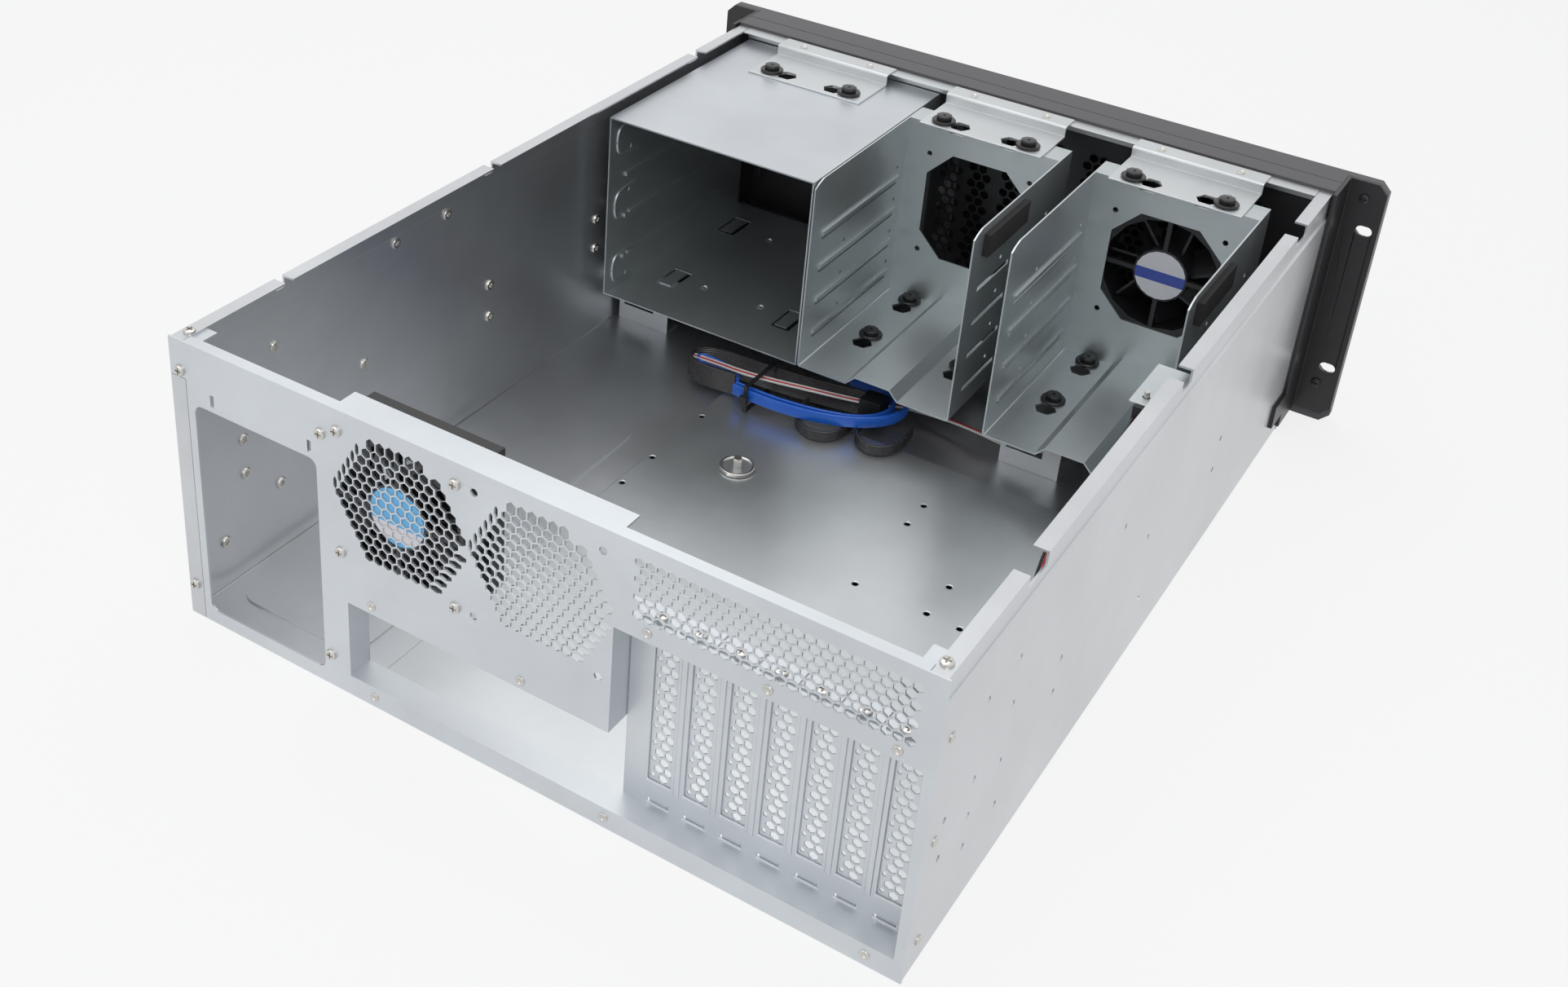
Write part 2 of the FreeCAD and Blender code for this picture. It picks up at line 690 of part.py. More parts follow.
def cage_floor_outline(left):
    """The cage's section: two walls and a floor with a raised ridge."""
    right = f"{left} + drive_cage_width"
    ridge = f"{left} + ridge_left"
    crest = f"{ridge} + (ridge_base - ridge_crest) / 2"
    crest_end = f"{crest} + ridge_crest"
    ridge_end = f"{ridge} + ridge_base"
    floor = "cage_low"
    outer = [(left, "cage_high"), (left, floor), (ridge, floor), (crest, f"{floor} + ridge_rise"),
             (crest_end, f"{floor} + ridge_rise"), (ridge_end, floor), (right, floor), (right, "cage_high")]
    t = "cage_sheet"
    inner = [(f"{right} - {t}", "cage_high"), (f"{right} - {t}", f"{floor} + {t}"),
             (f"{ridge_end} + {t} / 2", f"{floor} + {t}"), (f"{crest_end} + {t} / 2", f"{floor} + ridge_rise + {t}"),
             (f"{crest} - {t} / 2", f"{floor} + ridge_rise + {t}"), (f"{ridge} - {t} / 2", f"{floor} + {t}"),
             (f"{left} + {t}", f"{floor} + {t}"), (f"{left} + {t}", "cage_high")]
    return [(across(x), z) for x, z in outer + inner]


def drive_cage(name, label, left):
    """A U-shaped cage for small drives with a fan wall across it."""
    folded = section(f"{name}_sheet", "xz", cage_floor_outline(left), "-(rear_y - cage_back)",
                     "drive_cage_front - cage_back", [([1, 6], "bend"), ([9, 14], "bend - cage_sheet")])
    right = f"{left} + drive_cage_width"
    inside = span(f"{left} + cage_sheet", f"{right} - cage_sheet", across)
    wall = box(f"{name}_fan_wall", inside, span("fan_wall_back", "fan_wall_back + cage_sheet", back),
               ("cage_low + cage_sheet", "cage_high"))
    top = box(f"{name}_top_fold", inside, span("fan_wall_back", "drive_cage_front", back),
              ("cage_high - cage_sheet", "cage_high"))
    bars = embossed_ledges(name, left, right, "cage_low + 18", 4, span(385, 490, back))
    solid = fuse(f"{name}_solid", [folded, wall, top] + bars)
    middle = f"{left} + drive_cage_width / 2"
    half_w, half_h = "octagon_width / 2", "octagon_height / 2"
    ring = [(1, 1, 0, 1), (1, 1, 1, 0), (1, -1, 1, 0), (1, -1, 0, 1), (-1, -1, 0, 1), (-1, -1, 1, 0),
            (-1, 1, 1, 0), (-1, 1, 0, 1)]
    points = [(f"{across(middle)} + {sx} * ({half_w} - {cx} * octagon_cut)",
               f"cage_fan_height + {sz} * ({half_h} - {cz} * octagon_cut)") for sx, sz, cz, cx in ring]
    opening = section(f"{name}_octagon", "xz", points, "-(rear_y - fan_wall_back + 1)", "cage_sheet + 2")
    tools = [opening]
    for i, (x, z) in enumerate(fan_square(middle, "cage_fan_height")):
        tools.append(drill(f"{name}_fan_hole_{i}", "y", x, back("fan_wall_back"), z, "hole / 2"))
    for i, u in enumerate((f"{left} + keyhole_inset", f"{right} - keyhole_inset")):
        for j, d in enumerate(("keyhole_front", "keyhole_back")):
            tools += floor_keyhole(f"{name}_key_{i}{j}", u, d, "cage_low")
    for i, side in enumerate((left, right)):
        corner = [(back("cage_back - 1"), "cage_high + 1"),
                  (back("cage_back - 1"), "cage_high - cage_corner / 3"),
                  (back("cage_back + cage_corner / 3"), "cage_high - cage_corner / 8"),
                  (back("cage_back + cage_corner"), "cage_high + 1")]
        tools.append(section(f"{name}_corner_{i}", "yz", corner, f"{across(side)} - 3", "6"))
    node(label, cut(f"{name}_cut", solid, tools))


# --- front structure --------------------------------------------------------------

def front_plate():
    """The inner front wall: a plate folded back at the floor and the sides."""
    edge = "body_width / 2 - sheet - band_inset"
    x = (f"-({edge})", edge)
    y = span("body_length - sheet", "body_length", back)
    flange = span("bay_cage_front + seat_gap", "body_length - sheet", back)
    plate = box("front_sheet", x, y, ("sheet", "rail_top - sheet"))
    foot = box("front_foot", x, flange, ("sheet", "2 * sheet"))
    solid = fuse("front_solid", [plate, foot])
    depth = span("body_length - 2 * sheet", "body_length + sheet", back)
    bays = around("bay_cage_left + bay_cage_width / 2", "(bay_cage_width / 2 - cage_sheet)")
    tools = [box("front_bay_opening", bays, depth, ("cage_low + cage_sheet", "cage_high"))]
    for name in ("mid", "right"):
        vent = around(f"{name}_cage_left + drive_cage_width / 2", "(drive_cage_width / 2 - 12)")
        for i in range(9):
            z = f"vent_low + {i} * vent_pitch"
            tools.append(box(f"front_{name}_vent_{i}", vent, depth, (z, f"{z} + vent_slot")))
    node("front_plate", cut("front_plate_cut", solid, tools))


def front_top_rail():
    """The angle that ties the tops of the side walls at the front."""
    edge = "(band_inset + lip + seat_gap)"
    x = span(edge, f"body_width - {edge}", across)
    top = box("rail_top_leg", x, span("rail_back", "body_length", back), ("rail_top - sheet", "rail_top"))
    drop = box("rail_front_leg", x, span("body_length - 2 * sheet", "body_length - sheet", back),
               ("rail_top - rail_drop", "rail_top"))
    node("front_top_rail", fuse("front_rail", [top, drop]))


def bezel():
    """The moulded front: a deep hood and a wide face with cut corners."""
    depth_end = "body_length + bezel_depth"
    hood = box("bezel_hood", ("-body_width / 2", "body_width / 2"), span("body_length", depth_end, back),
               (0, "panel_height"))
    hollow = box("bezel_hollow", ("-(body_width / 2 - bezel_wall)", "body_width / 2 - bezel_wall"),
                 span("body_length - 1", f"{depth_end} - bezel_wall", back),
                 ("bezel_wall", "panel_height - bezel_wall"))
    half, corner = "panel_width / 2", "ear_corner"
    right = [(f"{half} - {corner}", "0"), (half, corner), (half, f"panel_height - {corner}"),
             (f"{half} - {corner}", "panel_height")]
    face_points = right + [(f"-({x})", z) for x, z in reversed(right)]
    face = section("bezel_face", "xz", face_points, f"-({back(depth_end)} + wing_depth)", "wing_depth")
    shell = cut("bezel_shell", fuse("bezel_solid", [hood, face]), [hollow])
    depth = span("body_length", f"{depth_end} + 1", back)
    tools = [box("bezel_bays", span("bay_left", "bay_left + bay_width", across), depth,
                 ("bay_low", "bay_low + 3 * bay_height"))]
    for i in range(int(size["grill_count"])):
        x = f"grill_left + {i} * grill_pitch"
        tools.append(box(f"bezel_grill_{i}", span(x, f"{x} + grill_slot", across), depth,
                         ("grill_low", "grill_high")))
    for label in ("power", "reset"):
        tools.append(prism(f"bezel_{label}_hole", "y", across("button_place"), back(f"{depth_end} + 1"),
                           f"{label}_height", "button_radius + seat_gap", "bezel_wall + 2", 12))
    for i, side in enumerate((-1, 1)):
        for j, z in enumerate(("ear_hole_low", "ear_hole_high")):
            tools.append(prism(f"bezel_rack_access_{i}{j}", "y", f"{side} * rack_hole_pitch / 2",
                               back(f"{depth_end} + 1"), z, "rack_access", "wing_depth + 2", 12))
    for i in range(2):
        z = f"usb_low + {i} * usb_pitch"
        tools.append(box(f"bezel_usb_{i}", around("button_place", "6.5"), depth, (z, f"{z} + usb_height")))
    node("front_bezel", cut("bezel_open", shell, tools))


def bay_cover(i):
    """A snap-in cover that fills one wide drive bay."""
    low = f"bay_low + {i} * bay_height + cover_gap"
    high = f"bay_low + {i + 1} * bay_height - cover_gap"
    x = span("bay_left + cover_gap", "bay_left + bay_width - cover_gap", across)
    end = "body_length + bezel_depth"
    plate = box(f"bay_cover_plate_{i}", x, span(f"{end} - 3", end, back), (low, high))
    clips = [box(f"bay_cover_clip_{i}{j}", span(u, f"{u} + 2", across), span(f"{end} - 15", f"{end} - 3", back),
                 (f"{low} + 10", f"{high} - 10"))
             for j, u in enumerate(("bay_left + cover_gap", "bay_left + bay_width - cover_gap - 2"))]
    node(f"bay_cover_{i + 1}", fuse(f"bay_cover_solid_{i}", [plate] + clips))


def rack_ear(label, side):
    """An angle of sheet: the slotted ear plate and the flange on the body side."""
    inner, outer, corner = "body_width / 2", "panel_width / 2", "ear_corner"
    outline = [(inner, "ear_low"), (f"{outer} - {corner}", "ear_low"), (outer, f"ear_low + {corner}"),
               (outer, f"panel_height - {corner}"), (f"{outer} - {corner}", "panel_height"),
               (inner, "panel_height")]
    points = [(f"{side} * ({x})", z) for x, z in outline[::side]]
    plate = section(f"{label}_plate", "xz", points, "-(rear_y - ear_back)", "ear_sheet")
    x = (inner, f"{inner} + ear_sheet") if side > 0 else (f"-({inner} + ear_sheet)", f"-({inner})")
    flange = box(f"{label}_flange", x, span("ear_flange_back", "ear_back", back), ("ear_low", "panel_height"))
    tab = box(f"{label}_tab", x, span("ear_tab_back", "ear_flange_back", back), (16, 32))
    solid = fuse(f"{label}_solid", [plate, flange, tab])
    tools = []
    for i, z in enumerate(("ear_hole_low", "ear_hole_high")):
        centre = f"{side} * rack_hole_pitch / 2"
        tools.append(box(f"{label}_slot_{i}", (f"{centre} - rack_slot / 2", f"{centre} + rack_slot / 2"),
                         span("ear_back - 1", "ear_back + ear_sheet + 1", back),
                         (f"{z} - rack_bore / 2", f"{z} + rack_bore / 2")))
        tools += [bore(f"{label}_slot_end_{i}{j}", "y", f"{centre} + {s} * rack_slot / 2",
                       back("ear_back + ear_sheet"), z, "rack_bore / 2") for j, s in enumerate((-1, 1))]
    node(label, cut(f"{label}_cut", solid, tools))


def cage_bracket(label, left):
    """A Z of sheet from the rail down onto a cage, with two grommet keyholes."""
    t = "bracket_sheet"
    low, high = "cage_high", "rail_top"
    rear, step, front = back("bracket_back"), back("bracket_step"), back("body_length - 2 * sheet")
    points = [(rear, low), (step, low), (step, high), (front, high), (front, f"{high} + {t}"),
              (f"{step} + {t}", f"{high} + {t}"), (f"{step} + {t}", f"{low} + {t}"), (rear, f"{low} + {t}")]
    strip = section(f"{label}_strip", "yz", points, across(f"{left} + bracket_length"), "bracket_length",
                    [([1, 5], "bracket_sheet * 1.5")])
    middle = f"{left} + bracket_length / 2"
    tools = keyhole(f"{label}_key_a", f"{middle} - bracket_grommets / 2", "grommet_back", 1, low)
    tools += keyhole(f"{label}_key_b", f"{middle} + bracket_grommets / 2", "grommet_back", -1, low)
    node(label, cut(f"{label}_cut", strip, tools))


def grommet(name, u, d, z, thick):
    """A rubber stop: a neck in the keyhole, a wide flange on the sheet and a crown."""
    x, y = across(u), back(d)
    neck = prism(name + "_neck", "z", x, y, z, "grommet_bore / 2 - 0.1", thick)
    flange = prism(name + "_flange", "z", x, y, f"{z} + {thick}", "grommet_radius", "grommet_flange")
    crown = prism(name + "_crown", "z", x, y, f"{z} + {thick} + grommet_flange", "grommet_crown", "grommet_flange")
    return fuse(name, [neck, flange, crown])


def grommets():
    """All the isolating grommets, as one group of separate pieces."""
    rings = []
    for name in ("bay", "mid", "right"):
        middle = f"{name}_bracket_left + bracket_length / 2"
        for i, s in enumerate((-1, 1)):
            rings.append(grommet(f"grommet_top_{name}_{i}", f"{middle} + {s} * bracket_grommets / 2",
                                 "grommet_back", "cage_high", "bracket_sheet"))
    for name in ("mid", "right"):
        left, right = f"{name}_cage_left", f"{name}_cage_left + drive_cage_width"
        for i, u in enumerate((f"{left} + keyhole_inset", f"{right} - keyhole_inset")):
            for j, d in enumerate(("keyhole_front", "keyhole_back")):
                rings.append(grommet(f"grommet_floor_{name}_{i}{j}", u, d, "cage_low", "cage_sheet"))
    group = doc.addObject("Part::Compound", "grommet_group")
    group.Links = rings
    node("rubber_grommets", group)


def fan_frame(label, place, z, rear):
    """A square fan housing: two flanges, a round duct and the motor spider."""
    half, end = "fan_frame / 2", f"{rear} + fan_depth"
    x, front = across(place), back(f"{end} + 1")
    block = box(f"{label}_block", around(place, half), span(rear, end, back), (f"{z} - {half}", f"{z} + {half}"))
    duct = prism(f"{label}_duct", "y", x, front, z, "fan_duct", "fan_depth + 2", FAN_SIDES)
    waist = box(f"{label}_waist", around(place, f"({half} + 1)"),
                span(f"{rear} + fan_flange", f"{end} - fan_flange", back), (f"{z} - {half} - 1", f"{z} + {half} + 1"))
    drum = prism(f"{label}_drum", "y", x, front, z, "fan_duct + fan_wall", "fan_depth + 2", FAN_SIDES)
    groove = cut(f"{label}_groove", waist, [drum])
    holes = [prism(f"{label}_screw_hole_{i}", "y", hole_x, front, hole_z, "hole / 2", "fan_depth + 2")
             for i, (hole_x, hole_z) in enumerate(fan_square(place, z))]
    housing = cut(f"{label}_housing", block, [duct, groove] + holes)
    seat = prism(f"{label}_motor_seat", "y", x, back(f"{rear} + fan_spider"), z, "fan_hub", "fan_spider", FAN_SIDES)
    spider = span(rear, f"{rear} + fan_spider", back)
    reach = "(fan_duct + fan_wall)"
    arms = [box(f"{label}_arm_x", around(place, reach), spider, (f"{z} - 1.5", f"{z} + 1.5")),
            box(f"{label}_arm_z", around(place, "1.5"), spider, (f"{z} - {reach}", f"{z} + {reach}"))]
    axle = prism(f"{label}_axle", "y", x, back(f"{rear} + fan_spider + fan_axle_length"), z, "fan_axle",
                 "fan_axle_length", 8)
    node(label, fuse(f"{label}_solid", [housing, seat, axle] + arms))


def fan_impeller(label, place, z, rear):
    """A hub cup with seven swept blades that turns on the axle."""
    x, near = across(place), f"{rear} + fan_depth - fan_recess"
    length = "fan_depth - fan_spider - 3"
    inside = back(f"{near} - 2")
    hub = prism(f"{label}_hub", "y", x, back(near), z, "fan_hub", length, FAN_SIDES)
    hollow = prism(f"{label}_hollow", "y", x, inside, z, "fan_hub - 2", length, FAN_SIDES)
    sleeve = prism(f"{label}_sleeve", "y", x, back(near), z, "fan_axle + 2", f"{length} - 1", 8)
    shaft = prism(f"{label}_bore", "y", x, inside, z, "fan_axle + 0.6", length, 8)
    cup = cut(f"{label}_cup", fuse(f"{label}_body", [cut(f"{label}_shell", hub, [hollow]), sleeve]), [shaft])
    doc.recompute()
    start = hub.Placement.Base
    blades = doc.addObject("Part::Feature", label + "_blades")
    blades.Shape = Part.makeCompound([fan_blade(start, 2 * math.pi * k / FAN_BLADES) for k in range(FAN_BLADES)])
    node(label, fuse(f"{label}_wheel", [cup, blades]))


def fan_blade(start, angle):
    """A pitched blade from inside the hub's wall to just short of the duct."""
    radial = FreeCAD.Vector(math.cos(angle), 0, math.sin(angle))
    tangent = FreeCAD.Vector(-math.sin(angle), 0, math.cos(angle))
    axial = FreeCAD.Vector(0, 1, 0)
    length = size["fan_depth"] - size["fan_spider"] - 3
    half = (length - 3) / 2
    pitch = math.radians(size["blade_pitch"])
    lean, thick = half * math.tan(pitch), 0.7 / math.cos(pitch)
    centre = start + radial * (size["fan_hub"] - 0.8) + axial * (length / 2)
    corners = [centre + axial * end * half + tangent * (end * lean + side * thick)
               for end, side in ((-1, -1), (-1, 1), (1, 1), (1, -1))]
    reach = size["fan_duct"] - size["fan_hub"] - 1.2
    return Part.Face(Part.makePolygon(corners + corners[:1])).extrude(radial * reach)


# --- small hardware ----------------------------------------------------------------

def heads(label, places, radius, height):
    """Like heads on the rear, the sides or the top, as one group of separate pieces."""
    discs = []
    for i, (axis, sign, x, y, z) in enumerate(places):
        start = {"x": x, "y": y, "z": z}
        if sign < 0:
            start[axis] = f"({start[axis]}) - {height}"
        discs.append(prism(f"{label}_{i}", axis, start["x"], start["y"], start["z"], radius, height))
    group = doc.addObject("Part::Compound", label + "_group")
    group.Links = discs
    node(label, group)


def rear_place(u, z):
    return ("y", 1, across(u), "rear_y", z)


REAR_RIVETS = [(128.6, 6.3), (270.3, 6.3), (411.2, 6.3), (288.6, 127.8), (350.5, 127.8), (412.3, 127.8),
               (128.3, 65), (220.2, 65)]
SIDE_RIVETS = [135, 76, 16]


def rivets():
    places = [rear_place(u, z) for u, z in REAR_RIVETS]
    for side in (-1, 1):
        places += [("x", side, f"{side} * body_width / 2", back(13), z) for z in SIDE_RIVETS]
    for left in ("bay_bracket_left", "mid_bracket_left", "right_bracket_left"):
        for u in (f"{left} + 17", f"{left} + bracket_length - 17"):
            places.append(("z", 1, across(u), back(541), "rail_top + bracket_sheet"))
    heads("rivets", places, "rivet_radius", "rivet_head")


def screws():
    """Pan heads: power supply, rear fan, slot covers, top corners and rack ears."""
    places = [rear_place(u, z) for u, z in ((6.8, "wall_height - 17.7"), (99.5, "wall_height - 17.7"),
                                           (4.5, 20.5), (100.5, 20.5))]
    places += [("y", 1, x, "rear_y", z) for x, z in fan_square("rear_fan_place", "rear_fan_height")]
    for i in range(int(size["slot_count"])):
        places.append(("z", 1, across(slot_centre(i)), back("ledge_depth / 2 + 1"), "slot_shelf + cover_sheet"))
    for u in ("6", "body_width - 6"):
        places.append(("z", 1, across(u), back(9), "wall_height"))
    heads("screws", places, "screw_radius", "screw_head")
    ears = [("y", 1, f"{side} * (body_width / 2 + 13)", back("ear_back"), z)
            for side in (-1, 1) for z in ("ear_low + 22.5", "panel_height - 11.5")]
    heads("ear_screws", ears, "screw_radius", "screw_head")


def foam_pad(label, left):
    """A strip of black foam on the outer face of a cage's right wall."""
    wall = f"{left} + drive_cage_width"
    node(label, box(f"{label}_strip", span(wall, f"{wall} + foam_depth", across),
                    span("cage_back + 14", "cage_back + 74", back), ("cage_high - 20", "cage_high - 5")))


def floor_bracket(label, left, d):
    """A small Z of sheet that carries a cage's rear edge above the floor."""
    t = "bracket_sheet"
    near, inner, far = back(d), back(f"{d} + {t}"), back(f"{d} + 14")
    points = [(far, "sheet"), (near, "sheet"), (near, "cage_low"), (far, "cage_low"), (far, f"cage_low - {t}"),
              (inner, f"cage_low - {t}"), (inner, f"sheet + {t}"), (far, f"sheet + {t}")]
    strip = section(f"{label}_strip", "yz", points, across(f"{left} + 40"), "40")
    window = box(f"{label}_window", span(f"{left} + 4", f"{left} + 28", across), span(f"{d} - 1", f"{d} + 3", back),
                 ("sheet + 12", "cage_low - 8"))
    node(label, cut(f"{label}_cut", strip, [window]))


def intrusion_switch():
    """A lid switch: bracket under the wall's lip, body and spring plunger."""
    wall = "body_width - sheet - band_inset"
    x, y = across("switch_place"), back("switch_back")
    under = "switch_top - sheet"
    shelf = box("switch_shelf", span("switch_left", wall, across), span(258, 302, back), (under, "switch_top"))
    leg = box("switch_leg", span(f"{wall} - sheet", wall, across), span(262, 298, back),
              ("switch_top - 8", "switch_top"))
    hole = prism("switch_hole", "z", x, y, under, "plunger_radius + 0.5", "2 * sheet", 8)
    node("switch_bracket", cut("switch_bracket_cut", fuse("switch_angle", [shelf, leg]), [hole]))
    case = box("switch_case", around("switch_place", "3.2"), span("switch_back - 10", "switch_back + 10", back),
               (f"{under} - 10.5", under))
    well = prism("switch_well", "z", x, y, f"{under} - 7", "plunger_radius + 0.3", "8", 8)
    node("switch_body", cut("switch_body_cut", case, [well]))
    node("switch_plunger", prism("switch_pin", "z", x, y, f"{under} - 3.5", "plunger_radius",
                                 "sheet + 3.5 + plunger_rise", 8))


def front_button(label, z):
    """A round button with a collar, moving through the bezel face."""
    x, end = across("button_place"), "body_length + bezel_depth"
    cap = prism(f"{label}_cap", "y", x, back(f"{end} + button_rise"), z, "button_radius", "button_length", 12)
    collar = prism(f"{label}_collar", "y", x, back(f"{end} - bezel_wall - seat_gap"), z, "button_radius + 1.5",
                   "1.5", 12)
    node(label, fuse(f"{label}_solid", [cap, collar]))


def button_board():
    """The circuit board behind the buttons and ports, on the front plate."""
    near = "board_back + 1.6"
    end = "body_length + bezel_depth"
    pressed = f"{end} + button_rise - button_length - button_travel - seat_gap"
    pieces = [box("board_plate", around("button_place", "9"), span("board_back", near, back), (44, 142))]
    for i, z in enumerate((90, 136)):
        pieces.append(box(f"board_post_{i}", around("button_place", "4"), span("body_length", "board_back", back),
                          (z, z + 4)))
    for name in ("power", "reset"):
        pieces.append(box(f"board_switch_{name}", around("button_place", "3"), span(near, pressed, back),
                          (f"{name}_height - 3", f"{name}_height + 3")))
    for i in range(2):
        z = f"usb_low + {i} * usb_pitch"
        pieces.append(box(f"board_usb_{i}", around("button_place", "6"), span(near, f"{end} - 1", back),
                          (f"{z} + seat_gap", f"{z} + usb_height - seat_gap")))
    node("front_board", fuse("board_solid", pieces))


def standoff():
    """The hexagonal support post on the tray's pressed dish."""
    node("tray_standoff", prism("standoff_post", "z", across("dish_place"), back("dish_back"),
                                "tray_top + dish_rise", "2.9", "6"))


# --- cables --------------------------------------------------------------------------

def route(points):
    """A path of straight runs joined by tangent arcs, and the arcs' radii."""
    corners = [FreeCAD.Vector(*point) for point in points]
    edges, radii, start = [], [], corners[0]
    for before, corner, after in zip(corners, corners[1:], corners[2:]):
        inward, outward = corner - before, after - corner
        reach = 0.45 * min(inward.Length, outward.Length)
        inward.normalize()
        outward.normalize()
        turn = inward.getAngle(outward)
        radii.append(reach / math.tan(turn / 2))
        first, last = corner - inward * reach, corner + outward * reach
        bisector = (outward - inward).normalize()
        centre = corner + bisector * (radii[-1] / math.cos(turn / 2))
        middle = centre - bisector * radii[-1]
        edges.append(Part.LineSegment(start, first).toShape())
        edges.append(Part.Arc(first, middle, last).toShape())
        start = last
    edges.append(Part.LineSegment(start, corners[-1]).toShape())
    return Part.Wire(edges), radii


def case_points(points):
    """Route points given as distance across, distance from the rear, height."""
    return [(size["body_width"] / 2 - u, size["rear_y"] - d, z) for u, d, z in points]


def swept(label, points, across_path, upright):
    """A cable of rectangular section (width, height), kept level along its route."""
    path, radii = route(case_points(points))
    start = path.Edges[0].Vertexes[0].Point
    ahead = (path.Edges[0].Vertexes[-1].Point - start).normalize()
    outline = profile_wire(start, ahead, across_path)
    pipe = Part.BRepOffsetAPI.MakePipeShell(path)
    if upright:
        pipe.setBiNormalMode(FreeCAD.Vector(0, 0, 1))
    else:
        pipe.setFrenetMode(False)
    pipe.add(outline, False, False)
    pipe.build()
    pipe.makeSolid()
    piece = doc.addObject("Part::Feature", label + "_sweep")
    piece.Shape = pipe.shape()
    area = Part.Face(outline).Area
    print(f"{label}: length {path.Length:.1f}, least radius {min(radii):.1f}, "
          f"volume / (area x length) {piece.Shape.Volume / (area * path.Length):.4f}")
    node(label, piece)


def profile_wire(start, ahead, across_path):
    """An upright rectangle (width, height) square to the start of the route."""
    aside = FreeCAD.Vector(0, 0, 1).cross(ahead).normalize() * (across_path[0] / 2)
    up = ahead.cross(aside).normalize() * (across_path[1] / 2)
    corners = [start + aside + up, start - aside + up, start - aside - up, start + aside - up]
    return Part.makePolygon(corners + corners[:1])


# Routes: distance across from the left seen from behind, distance from the rear
# face, height. The flat cables stand on edge.
RIBBON_LOOP = [(205.6, 385.9, 16.4), (182, 381, 16.4), (156, 377, 16.4), (130, 375, 16.4), (108, 375, 16.4),
               (94, 371, 16.4), (88, 362.5, 16.4), (95, 354, 16.4), (110, 352, 16.4), (128, 355, 16.4)]
RIBBON_FOLD = [(173, 373, 11), (173, 359, 11), (180, 346, 11), (193, 340.5, 11), (205, 346.5, 11),
               (209, 360, 11), (208, 374, 11)]
DATA_CABLE = [(132, 346, 19), (151, 344.5, 19), (174, 346, 19), (197, 351, 19), (218, 361.5, 19),
              (232, 376, 19), (235, 394, 19), (226, 407, 19), (208, 411, 19), (188, 408, 19)]
PANEL_WIRE = [(91, 362.5, 21), (109, 362.3, 22), (130, 361, 23), (152, 364, 23.5), (174, 370, 23),
              (192, 377, 21), (205.2, 382.6, 19.7)]
FAN_LEAD = [(212.3, 393.8, 12), (217, 405, 11), (236, 411, 9), (258, 409, 12), (280, 405, 14), (300, 407, 10),
            (321, 421, 6), (335, 444, 4.6), (341, 474, 4.4), (343, 504, 7), (344.5, 530, 20), (346, 540, 44),
            (347, 526, 72)]
SWITCH_LEAD = [(413.5, 255.4, 157), (413.5, 238, 152), (411.5, 214, 141), (410, 182, 141), (410.5, 152, 128),
               (413.5, 139, 103), (417, 158, 72), (419, 195, 44), (420, 240, 24), (420.5, 292, 12.5),
               (420.5, 345, 10.3), (420.5, 398, 7), (420.5, 450, 4.4), (420, 503, 6), (419, 548.8, 24)]


def cables():
    swept("ribbon_cable", RIBBON_LOOP, (1.4, 16), True)
    swept("ribbon_fold", RIBBON_FOLD, (1.4, 7.4), True)
    swept("data_cable", DATA_CABLE, (2.0, 8), True)
    swept("panel_wires", PANEL_WIRE, (3.2, 1.6), False)
    swept("fan_lead", FAN_LEAD, (3.2, 1.6), False)
    swept("switch_lead", SWITCH_LEAD, (3.2, 1.6), False)


def cable_plug_and_tie():
    plug = box("plug_block", span(206.3, 221, across), span(379, 393, back), ("tray_top + seat_gap", "tray_top + 17"))
    node("cable_plug", plug)
    outer = box("tie_outer", span(141.6, 144.4, across), span(342.3, 379.2, back), ("tray_top", "tray_top + 19.7"))
    inner = box("tie_inner", span(141, 145, across), span(343.4, 378.1, back), ("tray_top + 1.1", "tray_top + 18.6"))
    lock = box("tie_lock", span(140.4, 145.6, across), span(338.8, 342.3, back), ("tray_top + 8", "tray_top + 13"))
    node("cable_tie", fuse("tie_solid", [cut("tie_loop", outer, [inner]), lock]))


# --- the whole case -------------------------------------------------------------------

def build_case():
    chassis_tub()
    rear_panel()
    motherboard_tray()
    slot_frame()
    for i in range(int(size["slot_count"])):
        slot_cover(i)
    bay_cage()
    drive_cage("mid_cage", "hdd_cage_mid", "mid_cage_left")
    drive_cage("right_cage", "hdd_cage_right", "right_cage_left")
    front_plate()
    front_top_rail()
    bezel()
    for i in range(3):
        bay_cover(i)
    rack_ear("left_rack_ear", 1)
    rack_ear("right_rack_ear", -1)
    cage_bracket("bay_cage_bracket", "bay_bracket_left")
    cage_bracket("mid_cage_bracket", "mid_bracket_left")
    cage_bracket("right_cage_bracket", "right_bracket_left")
    grommets()
    floor_bracket("bay_floor_bracket", 5, 402)
    floor_bracket("right_floor_bracket", 296, 402)
    foam_pad("mid_foam_pad", "mid_cage_left")
    foam_pad("right_foam_pad", "right_cage_left")
    fan_frame("rear_fan_frame", "rear_fan_place", "rear_fan_height", "sheet")
    fan_impeller("rear_fan_impeller", size["rear_fan_place"], size["rear_fan_height"], size["sheet"])
    front_middle = "right_cage_left + drive_cage_width / 2"
    fan_frame("front_fan_frame", front_middle, "cage_fan_height", "fan_wall_back + cage_sheet")
    fan_impeller("front_fan_impeller", size["right_cage_left"] + size["drive_cage_width"] / 2,
                 size["cage_fan_height"], size["fan_wall_back"] + size["cage_sheet"])
    intrusion_switch()
    front_button("power_button", "power_height")
    front_button("reset_button", "reset_height")
    button_board()
    standoff()
    rivets()
    screws()
    cables()
    cable_plug_and_tie()


def check_and_export():
    """Every object must be sound before any file is written."""
    doc.recompute()
    broken = [thing.Name for thing in doc.Objects if {"Invalid", "Error"} & set(thing.State)]
    broken += [thing.Label for thing in nodes if thing.Shape.isNull() or not thing.Shape.isValid()]
    if broken:
        raise RuntimeError(f"failed objects: {broken}")
    os.makedirs("parts", exist_ok=True)
    for thing in nodes:
        thing.Shape.exportStep(f"parts/{thing.Label}.step")
    print(f"{len(nodes)} sub-parts written")


